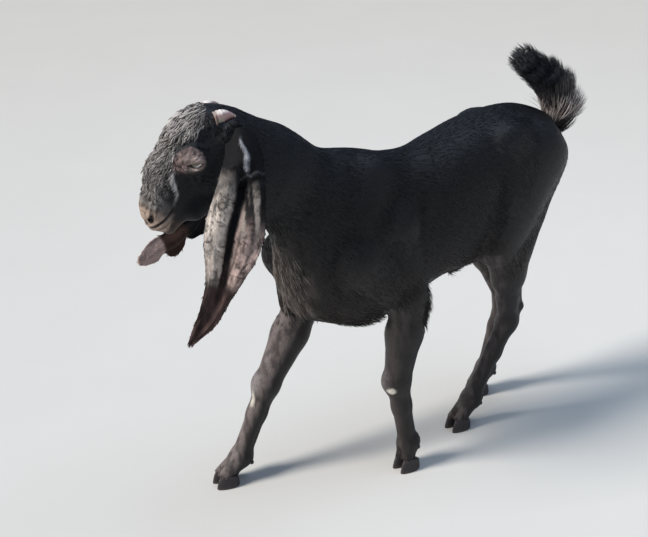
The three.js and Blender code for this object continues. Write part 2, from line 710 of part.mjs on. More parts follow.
let trunk = bodySolid([-143, -300, 250], [143, 540, 740], [30, 40, 31]).subtract(REGIONS.neck(GAP / 2));
trunk = trunk.subtract(REGIONS.head(GAP / 2)).subtract(REGIONS.tail(GAP / 2));
for (const [name, leg] of Object.entries(LEGS)) {
  const piece = `leg_${name}`;
  trunk = trunk.subtract(REGIONS[piece](GAP / 2));
  const [x, y] = leg.foot;
  const reach = name.startsWith("fore") ? [-80, 190] : [-70, 240];
  const low = [x - 82, y + reach[0], -21];
  const high = [x + 100, y + reach[1], 460];
  let limbSolid = bodySolid(low, high, [15, 15, 28]).intersect(REGIONS[piece](-GAP / 2)).subtract(belowCoronet(leg));
  for (const [place, side] of [["outer", Math.sign(x)], ["inner", -Math.sign(x)]]) {
    show(`claw_${name}_${place}`, makeClaw(leg, side), clawMatter);
    show(`dewclaw_${name}_${place}`, makeDewclaw(leg, side, 0), clawMatter);
    limbSolid = limbSolid.subtract(makeDewclaw(leg, side, GAP));
  }
  show(piece, limbSolid, coat);
}
show("trunk", trunk, coat);

// The origin is on the floor under the middle of the goat's bounding box.
goat.updateMatrixWorld(true);
const middle = new THREE.Box3().setFromObject(goat).getCenter(new THREE.Vector3());
goat.position.set(-middle.x, -middle.y, 0);

export default goat;
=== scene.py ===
"""A young long-eared buck goat in mid walk, as a still life-size model: one skin, its coat in
tufts and locks, eyes, horn buds and claws, in a plain pale studio."""

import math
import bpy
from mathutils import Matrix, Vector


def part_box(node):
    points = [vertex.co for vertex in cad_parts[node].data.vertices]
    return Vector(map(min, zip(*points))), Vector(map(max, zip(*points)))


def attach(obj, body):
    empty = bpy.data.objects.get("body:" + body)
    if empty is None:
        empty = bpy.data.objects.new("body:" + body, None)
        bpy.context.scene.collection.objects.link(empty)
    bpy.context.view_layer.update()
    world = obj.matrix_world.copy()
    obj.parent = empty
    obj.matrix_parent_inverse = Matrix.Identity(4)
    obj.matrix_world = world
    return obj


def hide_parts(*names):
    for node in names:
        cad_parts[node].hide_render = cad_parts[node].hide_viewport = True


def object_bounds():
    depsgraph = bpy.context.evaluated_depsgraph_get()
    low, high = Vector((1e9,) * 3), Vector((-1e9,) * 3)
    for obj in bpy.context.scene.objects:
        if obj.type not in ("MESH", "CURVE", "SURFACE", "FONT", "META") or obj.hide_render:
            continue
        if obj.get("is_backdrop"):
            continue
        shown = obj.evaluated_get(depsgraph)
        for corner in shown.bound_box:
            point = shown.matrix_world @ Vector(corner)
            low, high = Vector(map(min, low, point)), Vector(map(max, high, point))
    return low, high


bl_info = {
    "name": "Walking goat",
    "version": (1, 0, 0),
    "blender": (4, 5, 0),
    "location": "3D View > Sidebar > Goat",
    "description": "Builds the skin, coat, eyes, horns and claws of a young goat round its packed frame",
    "category": "Add Mesh",
}

import bpy
import numpy as np
from mathutils import Matrix

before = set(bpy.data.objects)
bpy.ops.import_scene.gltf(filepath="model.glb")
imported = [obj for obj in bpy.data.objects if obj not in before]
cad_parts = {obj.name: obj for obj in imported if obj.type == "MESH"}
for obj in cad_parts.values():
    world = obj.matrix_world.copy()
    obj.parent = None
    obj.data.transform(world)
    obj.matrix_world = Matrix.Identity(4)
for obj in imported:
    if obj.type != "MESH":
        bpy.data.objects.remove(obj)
CAD_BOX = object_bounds()

# ---------------------------------------------------------------- sizes, in millimetres
# The body is worked out in millimetres with x = 0 down its middle, y = 0 at the left fore
# foot and the floor at z = 0. The goat faces -y, and its left side is +x.

POLL = (0.0, -307.0, 773.0)
HEAD_PITCH = math.radians(46.9)
EYE_RADIUS = 13.5
EYE_PLACE = (42.0, 108.0, 14.0)  # sideways, along the face and up out of it
CLAW_LENGTH, CLAW_WIDTH = 48.0, 21.5
CORONET_HEIGHT, CORONET_SLOPE = 26.0, math.radians(18)

LEGS = {
    "fore_left": dict(
        shoulder=(70, -90, 458), elbow=(76, 4, 364), knee=(72, -20, 202), fetlock=(72, 6, 56),
        foot=(74, 0, 0), turn=4
    ),
    "fore_right": dict(
        shoulder=(-72, -172, 458), elbow=(-76, -128, 346), knee=(-74, -220, 192), fetlock=(-78, -284, 50),
        foot=(-79, -319, 0), turn=-6
    ),
    "hind_left": dict(
        hip=(56, 318, 565), stifle=(70, 222, 408), hock=(36, 282, 226), heel=(36, 314, 250),
        fetlock=(20, 206, 62), foot=(16, 175, 0), turn=2
    ),
    "hind_right": dict(
        hip=(-56, 322, 565), stifle=(-70, 258, 404), hock=(-54, 350, 226), heel=(-54, 380, 252),
        fetlock=(-68, 318, 58), foot=(-72, 298, 0), turn=-6
    ),
}

# Trunk sections: place along the body, top, bottom, half width, and how much the top narrows.
TRUNK = np.array([
    (-205, 565, 430, 42, 0.10),
    (-150, 625, 348, 62, 0.15),
    (-80, 650, 317, 76, 0.22),
    (0, 636, 327, 86, 0.18),
    (60, 632, 352, 91, 0.10),
    (110, 644, 366, 93, 0.05),
    (175, 662, 368, 90, 0.00),
    (246, 672, 378, 82, -0.08),
    (318, 668, 436, 72, -0.12),
    (374, 646, 488, 54, -0.10),
    (408, 616, 545, 34, 0.00),
])

# The tail: place along the body, height, half thickness of the flesh, and out to the hair tips.
TAIL = (
    (404, 604, 22, 45), (416, 632, 20, 50), (411, 664, 18, 45),
    (392, 694, 16, 36), (370, 714, 13, 34), (347, 733, 9, 30), (332, 742, 6, 19),
)

# Each ear hangs as a long leaf folded along its middle. A row holds the place along the ear,
# the point at the bottom of the fold, the reach of the front and back flaps, the depth of the
# fold, and how far the open side is turned from sideways (0) to forwards (90).
EARS = {
    "left": np.array([
        (0.00, 50, -316, 742, 22, 22, 15, 20),
        (0.12, 75, -322, 709, 31, 28, 16, 25),
        (0.24, 94, -336, 678, 38, 34, 15, 28),
        (0.34, 104, -349, 649, 42, 40, 14, 30),
        (0.48, 111, -369, 605, 44, 51, 13, 32),
        (0.62, 110, -381, 559, 36, 43, 12, 32),
        (0.70, 108, -387, 532, 30, 31, 11, 32),
        (0.78, 104, -396, 503, 24, 23, 10, 32),
        (0.90, 96, -420, 454, 15, 18, 7, 30),
        (1.00, 88, -448, 416, 3, 4, 3, 30),
    ]),
    "right": np.array([
        (0.00, -50, -316, 742, 22, 22, 15, 20),
        (0.14, -76, -316, 704, 28, 28, 15, 20),
        (0.32, -92, -318, 645, 36, 36, 14, 20),
        (0.47, -95, -322, 594, 34, 46, 13, 20),
        (0.58, -95, -330, 556, 30, 54, 12, 20),
        (0.65, -94, -347, 537, 26, 34, 12, 20),
        (0.69, -94, -358, 532, 24, 14, 11, 20),
        (0.75, -94, -372, 523, 22, 28, 10, 20),
        (0.81, -94, -387, 517, 20, 30, 9, 20),
        (0.86, -93, -401, 514, 20, 13, 8, 20),
        (0.91, -92, -416, 510, 20, 23, 8, 20),
        (0.96, -91, -434, 504, 15, 19, 6, 20),
        (1.00, -90, -449, 500, 8, 9, 3, 20),
    ]),
}
FOLD_WIDTH = 13.0  # half the width of the channel down the middle of an ear

SKIN_BOX = (-140, -500, -10), (140, 480, 800)
SKIN_CELL = 4.6  # the size of the skin's first triangles
SKIN_OFFSET = 2.5  # how far inside the coat's outline the skin is first laid
FLOOR_SIZE, FLOOR_DROP = 40.0, 0.0005  # metres
CAMERA_SPOT = (1610, -1137.8, 1290)
CAMERA_ANGLES = (58, 24.2, -1.5)  # degrees round the goat, down, and of roll
LENS_OVER_WIDTH = 1150 / 648  # the lens's length next to the width of the view


# ---------------------------------------------------------------- vectors and tables

def vec(*values):
    return np.array(values, float)


def unit(a):
    a = np.asarray(a, float)
    return a / np.maximum(np.linalg.norm(a, axis=-1, keepdims=True), 1e-9)


def mix(a, b, t):
    return a + (b - a) * t


def rise(value, low, high):
    """0 below low, 1 above high, and a smooth step between."""
    t = np.clip((value - low) / (high - low), 0, 1)
    return t * t * (3 - 2 * t)


def bell(value, width, power=2):
    """1 where value is 0, falling off to nothing past width."""
    return np.exp(-((value / width) ** power))


def bump_at(value, centre, width):
    return bell(value - centre, width)


def away_from(points, centre):
    return np.linalg.norm(points - centre, axis=1)


def head(side, along, up):
    """A point of the head: sideways, along the face from the poll, and up out of the face."""
    c, s = math.cos(HEAD_PITCH), math.sin(HEAD_PITCH)
    return vec(side, POLL[1] - c * along - s * up, POLL[2] - s * along + c * up)


def head_way(side, along, up):
    return head(side, along, up) - head(0, 0, 0)


def head_space(p):
    """The head's own coordinates of points: sideways, along the face, up out of it."""
    c, s = math.cos(HEAD_PITCH), math.sin(HEAD_PITCH)
    y, z = p[..., 1] - POLL[1], p[..., 2] - POLL[2]
    return np.stack([p[..., 0], -c * y - s * z, -s * y + c * z], -1)


def read_rows(rows, place):
    """A smooth reading of a table of rows (place, values...) at any places."""
    place = np.clip(np.asarray(place, float), rows[0, 0], rows[-1, 0])
    i = np.clip(np.searchsorted(rows[:, 0], place, side="left") - 1, 0, len(rows) - 2)
    before, start, end, after = (rows[np.clip(i + k, 0, len(rows) - 1)] for k in (-1, 0, 1, 2))
    span = (end[..., 0] - start[..., 0])[..., None]
    t = (place[..., None] - start[..., :1]) / span
    slope_here = (end - before) / (end[..., :1] - before[..., :1])
    slope_next = (after - start) / (after[..., :1] - start[..., :1])
    bend = (1 - t) ** 2 * t * span * slope_here - (1 - t) * t * t * span * slope_next
    return (start * (1 + 2 * t) * (1 - t) ** 2 + end * t * t * (3 - 2 * t) + bend)[..., 1:]


def lattice(p, seed):
    """A fixed random number from 0 to 1 for each whole-number place."""
    q = p.astype(np.int64)
    h = (q[..., 0] * 73856093) ^ (q[..., 1] * 19349663) ^ (q[..., 2] * 83492791) ^ (seed * 2654435761)
    h = (h ^ (h >> 13)) * 1274126177
    return ((h ^ (h >> 16)) & 0xFFFF) / 65535.0


def ripple(p, scale, seed=0):
    """Smooth noise from 0 to 1 whose lumps are about scale across (scale may differ by axis)."""
    q = p / np.asarray(scale, float)
    base = np.floor(q)
    f = q - base
    f = f * f * (3 - 2 * f)
    total = 0.0
    for corner in np.ndindex(2, 2, 2):
        c = np.array(corner)
        weight = np.prod(np.where(c == 1, f, 1 - f), -1)
        total = total + weight * lattice(base + c, seed)
    return total


# ---------------------------------------------------------------- forms of the body

def limb(a, b, ra, rb, wide=1.0):
    """A tapered limb from a to b, squeezed sideways by wide: its distance, and its box."""
    d = ((b[0] - a[0]) / wide, b[1] - a[1], b[2] - a[2])
    length2 = max(d[0] ** 2 + d[1] ** 2 + d[2] ** 2, 1e-6)

    def measure(x, y, z):
        px, py, pz = (x - a[0]) / wide, y - a[1], z - a[2]
        t = np.clip((px * d[0] + py * d[1] + pz * d[2]) / length2, 0, 1)
        away = np.sqrt((px - t * d[0]) ** 2 + (py - t * d[1]) ** 2 + (pz - t * d[2]) ** 2)
        return away - (ra + (rb - ra) * t)

    r = max(ra, rb) * max(wide, 1)
    return measure, np.minimum(a, b) - r, np.maximum(a, b) + r


def mass(centre, radii, pitch=0.0):
    """A rounded mass: an ellipsoid turned nose-down by pitch."""
    c, s = math.cos(pitch), math.sin(pitch)

    def measure(x, y, z):
        px, qy, qz = x - centre[0], y - centre[1], z - centre[2]
        py, pz = c * qy + s * qz, -s * qy + c * qz
        near = np.sqrt((px / radii[0]) ** 2 + (py / radii[1]) ** 2 + (pz / radii[2]) ** 2)
        steep = np.sqrt((px / radii[0] ** 2) ** 2 + (py / radii[1] ** 2) ** 2 + (pz / radii[2] ** 2) ** 2)
        return near * (near - 1) / np.maximum(steep, 1e-9)

    centre, r = np.asarray(centre, float), max(radii)
    return measure, centre - r, centre + r


def barrel(x, y, z):
    """The barrel of the body, read from the trunk sections."""
    rounding, n = 30.0, 2.3
    row = read_rows(TRUNK, y)
    top, bottom, half, narrow = (row[..., k] for k in range(4))
    up = z - (top + bottom) / 2
    away = np.maximum(np.sqrt(x * x + up * up), 1e-6)
    climb = up / away
    wide = half * (1 - narrow * climb)
    reach = (np.abs(x / away / wide) ** n + np.abs(2 * climb / (top - bottom)) ** n) ** (-1 / n)
    inside = away - reach + rounding
    past = np.maximum(TRUNK[0, 0] - y, y - TRUNK[-1, 0]) + rounding
    near = np.sqrt(np.maximum(inside, 0) ** 2 + np.maximum(past, 0) ** 2)
    return np.minimum(np.maximum(inside, past), 0) + near - rounding


def blend(a, b, width):
    """Two distances joined with a fillet of about the given width."""
    near = np.maximum(width - np.abs(a - b), 0) / width
    return np.minimum(a, b) - near * near * width / 4


PARTS = ("trunk", "neck", "head", "fore_left", "fore_right", "hind_left", "hind_right", "tail")
FORMS = []  # (distance, low corner, high corner, width of blend, part, way the hair lies)


def on(part, *names):
    """True for points that belong to any of the named parts."""
    return np.isin(part, [PARTS.index(name) for name in names])


def place(part, width, way, *shapes):
    for measure, low, high in shapes:
        FORMS.append((measure, low, high, width, PARTS.index(part), unit(way)))


def form_trunk():
    along = (0, 0.86, -0.5)
    place("trunk", 1, along, (barrel, vec(-110, -260, 290), vec(110, 450, 700)))
    place("trunk", 40, (0, 0.25, -1), mass((0, -182, 445), (50, 44, 78), math.radians(8)))
    place("trunk", 26, (0, 1, -0.2), limb((0, -165, 378), (0, -30, 336), 30, 26, 1.3))
    place("trunk", 24, (0, 1, 0), limb((0, 240, 388), (0, 165, 366), 15, 12))
    place("trunk", 8, (0, 0, -1), limb((0, 165, 362), (0, 154, 352), 8, 5))
    place("trunk", 16, (0, 0, -1), mass((0, 322, 432), (26, 28, 36)))
    for side in (-1, 1):
        place("trunk", 30, along, mass((side * 58, 246, 630), (18, 30, 20)))
        place("trunk", 26, (0, 0.4, -1), mass((side * 30, 390, 566), (17, 18, 28)))


def form_neck():
    way = (0, 0.78, -0.62)
    place("neck", 60, way, limb((0, -120, 543), (0, -230, 638), 96, 76, 0.62))
    place("neck", 36, way, limb((0, -230, 638), (0, -322, 703), 74, 60, 0.72))
    place("neck", 30, (0, 0.75, -0.66), limb((0, -308, 729), (0, -244, 694), 37, 36, 0.72))


def form_head():
    face, jaw = head_way(0, 1, -0.05), head_way(0, -0.55, -0.5)
    place("head", 24, face, mass(head(0, 63, 1), (46, 57, 52), HEAD_PITCH))
    place("head", 18, face, mass(head(0, 59, 31), (33, 34, 25), HEAD_PITCH))
    place("head", 16, face, limb(head(0, 92, 24), head(0, 150, 25), 40, 33, 0.92))
    place("head", 14, face, limb(head(0, 150, 25), head(0, 200, 8), 33, 28, 0.86))
    place("head", 10, face, limb(head(0, 200, 8), head(0, 214, -6), 27, 21, 1.05))
    place("head", 14, face, limb(head(0, 120, -14), head(0, 205, -14), 36, 24, 0.86))
    place("head", 8, face, mass(head(0, 219, -16), (24, 15, 17), HEAD_PITCH))
    place("head", 10, jaw, limb(head(0, 150, -42), head(0, 216, -36), 19, 14, 1.15))
    place("head", 26, jaw, limb(head(0, 52, -44), head(0, 120, -56), 44, 32, 0.8))
    for side in (-1, 1):
        place("head", 18, jaw, limb(head(side * 28, 96, -70), head(side * 17, 172, -54), 22, 16, 0.8))
        place("head", 16, jaw, mass(head(side * 37, 96, -26), (15, 40, 38), HEAD_PITCH))
        place("head", 12, jaw, mass(head(side * 36, 108, 20), (19, 27, 22), HEAD_PITCH))
        place("head", 14, (0, 0.3, -1), mass(head(side * 48, 34, -6), (17, 24, 22), HEAD_PITCH))
        place("head", 10, (0, 0.6, -0.6), mass(head(side * 30, 37, 24), (16, 18, 15), HEAD_PITCH))
        root, forward, _, upward = horn_frame(side)
        place("head", 9, (0, 0.5, -0.8), mass(root - 9 * upward - 0.5 * forward, (15, 14, 14)))


def horn_frame(side):
    """The root of a horn bud, the way it points, and the ways out of and up from its middle."""
    root = head(side * 36, 34.5, 22) if side > 0 else head(side * 36, 29, 8.5)
    tip = head(side * 42, 10.5, 1.5) if side > 0 else head(side * 40, 2, -10)
    forward = unit(tip - root)
    out = unit(np.cross(forward, vec(0, 0, 1)))
    return root, forward, out, np.cross(out, forward)


def joints_of(leg):
    return {key: np.array(value, float) for key, value in leg.items() if key != "turn"}


def form_foot(part, leg):
    fetlock, foot = leg["fetlock"], leg["foot"]
    place(part, 10, (0, 0.3, -1), mass(fetlock + (0, 2, 0), (22, 25, 24)))
    place(part, 8, (0, 0, -1), limb(fetlock, foot + (0, -2, CORONET_HEIGHT - 4), 21, 21))


def form_fore_leg(part):
    leg = joints_of(LEGS[part])
    shoulder, elbow, knee, fetlock = (leg[name] for name in ("shoulder", "elbow", "knee", "fetlock"))
    side = np.sign(leg["foot"][0])
    blade = vec(side * 36, -46 + 0.15 * (shoulder[1] + 90), 596)
    down = (0, 0.35, -1)
    place("trunk", 34, (0, 0.75, -0.66), limb(blade, shoulder, 40, 42, 0.5))
    place(part, 24, (0, 0.6, -0.8), limb(shoulder, elbow, 44, 34, 0.62))
    place(part, 26, down, limb(mix(blade, elbow, 0.45) + (side * 8, 12, 0), elbow, 56, 32, 0.5))
    if part == "fore_right":
        place(part, 22, down, mass((-70, -151, 372), (30, 38, 54)))
    place(part, 14, down, limb(elbow, mix(elbow, knee, 0.4), 41, 40, 0.76))
    place(part, 14, knee - elbow, limb(mix(elbow, knee, 0.4), knee, 40, 28, 0.84))
    place(part, 10, knee - elbow, mass(knee + (0, -6, 2), (26, 28, 30)))
    place(part, 12, fetlock - knee, limb(knee, mix(knee, fetlock, 0.4), 27, 21, 0.86))
    place(part, 12, fetlock - knee, limb(mix(knee, fetlock, 0.4), fetlock, 21, 21, 0.86))
    form_foot(part, leg)


def form_hind_leg(part):
    leg = joints_of(LEGS[part])
    hip, stifle, hock, heel, fetlock = (leg[name] for name in ("hip", "stifle", "hock", "heel", "fetlock"))
    side = np.sign(hip[0])
    calf = mix(stifle, hock, 0.35) + (0, 16, 0)
    place(part, 34, (0, 0.6, -0.8), limb(hip, mix(hip, stifle, 0.75), 73, 56, 0.5))
    place(part, 28, (0, 0.5, -0.9), limb((side * 58, 256, 606), stifle, 40, 34, 0.6))
    place(part, 26, (0, 0.2, -1), limb((side * 38, 364, 552), calf + (0, 4, 0), 45, 38, 0.58))
    place(part, 24, (0, 0.6, -0.8), limb((side * 60, 196, 412), stifle, 14, 24, 0.5))
    place(part, 16, (0, 0.4, -1), limb(stifle, calf, 34, 42, 0.62))
    place(part, 14, (0, 0.3, -1), limb(calf, hock, 37, 23, 0.72))
    place(part, 10, (0, 0.2, -1), limb(mix(calf, heel, 0.4), heel - (0, 4, 0), 22, 13, 0.7))
    place(part, 10, (0, 0.1, -1), limb(heel - (0, 4, 0), hock, 13, 21, 0.85))
    place(part, 10, (0, 0, -1), mass(hock, (21, 26, 30)))
    place(part, 12, fetlock - hock, limb(hock, mix(hock, fetlock, 0.4), 24, 20, 0.85))
    place(part, 12, fetlock - hock, limb(mix(hock, fetlock, 0.4), fetlock, 20, 20, 0.88))
    form_foot(part, leg)


def form_tail():
    for (y0, z0, r0, _), (y1, z1, r1, _) in zip(TAIL, TAIL[1:]):
        place("tail", 16, (0, y1 - y0, z1 - z0), limb((0, y0, z0), (0, y1, z1), r0, r1, 0.95))


form_trunk()
form_neck()
form_head()
for leg_name in LEGS:
    (form_fore_leg if leg_name.startswith("fore") else form_hind_leg)(leg_name)
form_tail()


# ---------------------------------------------------------------- measuring the body

def measure(points, with_parts=False):
    """Distance of each point from the body's surface (below zero inside), for points near it."""
    x, y, z = points.T
    distance = np.full(len(points), 1e3)
    nearest = np.full(len(points), 1e3)
    part = np.zeros(len(points), int)
    way = np.zeros((len(points), 3))
    for shape, low, high, width, index, lie in FORMS:
        reach = width + 26
        inside = np.flatnonzero(np.all((points > low - reach) & (points < high + reach), 1))
        if not len(inside):
            continue
        d = shape(x[inside], y[inside], z[inside])
        distance[inside] = blend(distance[inside], d, width)
        if with_parts:
            way[inside] += np.exp(-np.maximum(d, -12) / 9)[:, None] * lie
            closer = d < nearest[inside]
            nearest[inside[closer]], part[inside[closer]] = d[closer], index
    return (distance, part, unit(way)) if with_parts else distance


def coat_depth(points):
    """How far the skin lies inside the tips of the hair."""
    h = head_space(points)
    face = rise(h[:, 1], 20, 90) * rise(h[:, 2], -110, -90) * (points[:, 1] < -320)
    low = 1 - rise(points[:, 2], 150, 330)
    return 3.4 - 1.6 * np.maximum(face, low)


def crease(points, path, depth, width):
    """A groove (or with a depth below zero, a ridge) along a path over the skin."""
    low, high = np.min(path, 0) - 4 * width, np.max(path, 0) + 4 * width
    out = np.zeros(len(points))
    inside = np.flatnonzero(np.all((points > low) & (points < high), 1))
    if not len(inside):
        return out
    p = points[inside]
    nearest, along = np.full(len(p), 1e9), np.zeros(len(p))
    count = len(path) - 1
    for i, (a, b) in enumerate(zip(path, path[1:])):
        d = b - a
        t = np.clip(((p - a) @ d) / max(d @ d, 1e-6), 0, 1)
        away = np.linalg.norm(p - a - t[:, None] * d, axis=1)
        closer = away < nearest
        nearest[closer], along[closer] = away[closer], (i + t[closer]) / count
    fade = rise(along, -0.01, 0.22) * (1 - rise(along, 0.78, 1.01))
    out[inside] = depth * bell(nearest, width) * (0.25 + 0.75 * fade)
    return out


def curve(rows, steps=24):
    """A smooth path through a few points."""
    rows = np.array([(i, *row) for i, row in enumerate(rows)], float)
    return read_rows(rows, np.linspace(0, len(rows) - 1, steps))


def eye_frame(side):
    """Centre of an eyeball and the ways out of it, to its front corner and to its top."""
    centre = head(side * EYE_PLACE[0], *EYE_PLACE[1:])
    out = unit(vec(side * 0.86, -0.50, -0.02))
    front = unit(vec(side * 0.18, -1.0, 0.02))
    front = unit(front - out * (front @ out))
    top = np.cross(out, front) * -side
    return centre, out, front, top


def near_eyes(points, reach, ahead=0):
    """True for points within reach of an eye's middle, and further out of it than ahead."""
    near = np.zeros(len(points), bool)
    for side in (-1, 1):
        centre, out, *_ = eye_frame(side)
        near |= (away_from(points, centre) < reach) & ((points - centre) @ out > ahead)
    return near


LID_WAYS = dict(front=0.66, back=-0.86, upper=0.18, lower=-0.36, tilt=-0.03)


def lid_lines(a):
    """Height angles of the upper and lower lid at the angle a towards the front corner."""
    w = LID_WAYS
    t = np.clip((a - w["back"]) / (w["front"] - w["back"]), 0, 1)
    bow = np.sin(np.pi * t ** 0.92) ** 0.8
    level = w["tilt"] * (2 * t - 1)
    return level + w["upper"] * bow, level + w["lower"] * bow * (1 - 0.35 * t)


def strands(h):
    """0 in the furrows and 1 on the ridges between which the rough locks of the face run."""
    across = 46 * np.arctan2(h[:, 0], np.maximum(h[:, 2] + 14, 4))
    weave = 2.6 * np.sin(h[:, 1] / 6.2 + 7 * ripple(h, 26, 61)) + 5 * (ripple(h, 17, 62) - 0.5)
    fine = mix(1.0, 0.72, rise(h[:, 1], 120, 165))
    grain = ripple(np.stack([(across + weave) / fine, h[:, 1] / 5.5, 0 * across], 1), 3.9, 63)
    return rise(grain, 0.3, 0.66)


def lock_edge(h):
    """How high the rough locks of the face lie over their lower edge."""
    along = (-10, 20, 36, 50, 76, 90, 100, 118, 136, 155, 175, 190)
    edge = np.interp(h[:, 1], along, (30, 38, 42, 37, 39, 48, 51, 48, 39, 28, 10, 14))
    return h[:, 2] - edge


def locks_here(h):
    """1 where the rough locks grow on the face."""
    return rise(lock_edge(h), -4, 3) * rise(h[:, 1], -14, 4) * (1 - rise(h[:, 1], 178, 194))


def snout_rolls(h):
    """0 in the furrows and 1 on the short rolls of skin that lie across the top of the snout."""
    wavy = h + np.stack([0 * h[:, 0], 5 * ripple(h, (7, 9, 7), 44), 0 * h[:, 0]], 1)
    return rise(ripple(wavy, (11, 3.3, 11), 48), 0.25, 0.75)


MUZZLE_FOLDS = (
    ((28, 199, 19), (27.5, 206, 14), (26, 213, 8), (24, 219, 3)),
    ((24, 180, 34), (27, 189, 26), (29, 197, 17)),
    ((30, 186, 6), (28.5, 194, 1), (26.5, 203, -3)),
    ((14, 233, -12), (22, 223, -17), (24, 212, -19), (24, 202, -20)),
    ((20, 232, 4), (23, 225, 1), (25, 217, -3)),
)
NOSTRIL = ((15.5, 226, 7), (19, 222.5, 9), (22, 217, 13.5), (24, 211, 18), (24.5, 204, 21.5))
CREST = ((32.7, 138, 33), (32.6, 147, 29), (32, 155, 21), (29.5, 160, 9), (27, 168, -3), (26, 181, -7))


def mouth_line(along):
    """How far up out of the face the line of the mouth lies."""
    return np.interp(along, (184, 195, 205, 221, 233, 242), (-9.5, -11.5, -10.5, -7, -6, -9))


def face_details(points, distance):
    """Lids, nostrils, mouth and folds of the face, on top of the plain skin's distance."""
    h = head_space(points)
    near = np.flatnonzero((points[:, 1] < -250) & (h[:, 1] > -30) & (h[:, 1] < 260) & (h[:, 2] > -120))
    if not len(near):
        return distance
    p, h, d = points[near], h[near], distance[near]
    for side in (-1, 1):
        centre, out, front, top = eye_frame(side)
        q = p - centre
        r = np.linalg.norm(q, axis=1)
        ahead = np.maximum(q @ out, 1e-3)
        a, b = np.arctan2(q @ front, ahead), np.arctan2(q @ top, ahead)
        upper, lower = lid_lines(a)
        plump = 2.3 + 3.0 * bell(b - upper - 0.42, 0.36) + 1.2 * bell(b - lower + 0.16, 0.13)
        shell = r - (EYE_RADIUS + plump)
        shell = np.where(q @ out > -2, shell, 40)
        d = blend(d, shell, 7)
        d = d + 1.5 * bell(b - upper - 0.86, 0.13) * bell(a, 0.8, 4) * (q @ out > 4) * (r < 27)
        d = d + 1.0 * bell(b - lower + 0.62, 0.14) * bell(a, 0.8, 4) * (q @ out > 4) * (r < 25)
        over_eye = (
            np.exp(-(((q @ front - 8) / 26) ** 4 + ((q @ top - 20) / 15) ** 4)) * (q @ out > 0) * (r < 48)
        )
        d = d + 0.5 * over_eye * np.sin(0.5 * (q @ top) + 0.2 * (q @ front) + 8 * ripple(h, (9, 11, 9), 46))
        d = d + 1.2 * over_eye * (ripple(h, (4.5, 6, 4.5), 47) - 0.5)
        inside = (
            np.maximum(
                np.maximum(b - upper, lower - b), np.maximum(a - LID_WAYS["front"], LID_WAYS["back"] - a)
            )
            * EYE_RADIUS
        )
        inside = np.where(q @ out > 2, inside, 40)
        d = np.maximum(d, -np.maximum(inside, EYE_RADIUS - 1.6 - r))
        # The folds from the front corner of the eye down the side of the nose, and of the muzzle.
        for path, depth, width in (
            (((45, 122, 33), (41, 131, 32), (36, 141, 29)), 1.6, 2.0),
            (((43, 118, 37), (37, 132, 38), (31, 146, 35)), -0.9, 3.0),
            (CREST, -2.6, 2.9),
            (((36, 141, 27), (35, 152, 15), (32, 161, 2)), 2.0, 3.4),
            (((48, 122, 20), (43, 134, 12), (39, 146, 2)), 0.9, 2.6),
            (((22, 186, 33), (25, 194, 25), (27, 200, 20)), -1.2, 2.6),
            (((26, 196, 24), (27.5, 203, 19), (26.5, 210, 13)), -1.4, 2.2),
            *((path, 1.5, 1.7) for path in MUZZLE_FOLDS),
        ):
            path = curve([head(side * s, *rest) for s, *rest in path], 10)
            d = d + crease(p, path, depth, width)
        # The nostril: a comma that opens forwards and outwards, with a raised wing behind it.
        comma = curve([head(side * s, *rest) for s, *rest in NOSTRIL], 9)
        wing = bell(np.sqrt(np.min([((p - c) ** 2).sum(1) for c in comma], 0)) - 6.0, 2.0)
        d = d - 1.3 * wing * (1 - rise(h[:, 1], 216, 223))
        slit = np.full(len(p), 1e3)
        for i, (a0, b0) in enumerate(zip(comma, comma[1:])):
            size = 5.5 - 0.56 * i
            slit = np.minimum(slit, limb(a0, b0, size, size - 0.56)[0](*p.T))
        d = np.maximum(d, -slit)
    # The line of the mouth, and the lips each side of it.
    s, along, up = h.T
    line = mouth_line(along)
    d = d + 3.4 * bell(up - line, 1.5) * rise(along, 184, 194)
    d = d - 1.7 * bell(up - line + 5.0, 3.4) * rise(along, 190, 206)
    d = d - 1.3 * bell(up - line - 4.5, 3.4) * rise(along, 192, 210)
    d = d + 1.3 * bell(s, 1.3) * rise(along, 214, 226) * (up > line)
    # Ridges and furrows under the locks, and wrinkles across the top of the muzzle.
    d = d - 1.5 * (strands(h) - 0.4) * locks_here(h)
    d = (
        d - 1.2 * (snout_rolls(h) - 0.5) * rise(along, 182, 190) * (1 - rise(along, 203, 212))
        * rise(up, 10, 20)
    )
    d = (
        d + 3.2 * bump_at(along, 213, 15) * rise(up, 10, 24)
        + 1.2 * rise(along, 120, 150) * (1 - rise(along, 180, 200)) * rise(up, 24, 40)
    )
    # Rough folded skin over the nose and round the muzzle.
    rough = ripple(h, (7, 9, 7), 3) - 0.5 + 0.6 * (ripple(h, (3.4, 4.6, 3.4), 4) - 0.5)
    d = d + 1.1 * rough * rise(along, 20, 60) * rise(up, -30, 10)
    out = distance.copy()
    out[near] = d
    return out


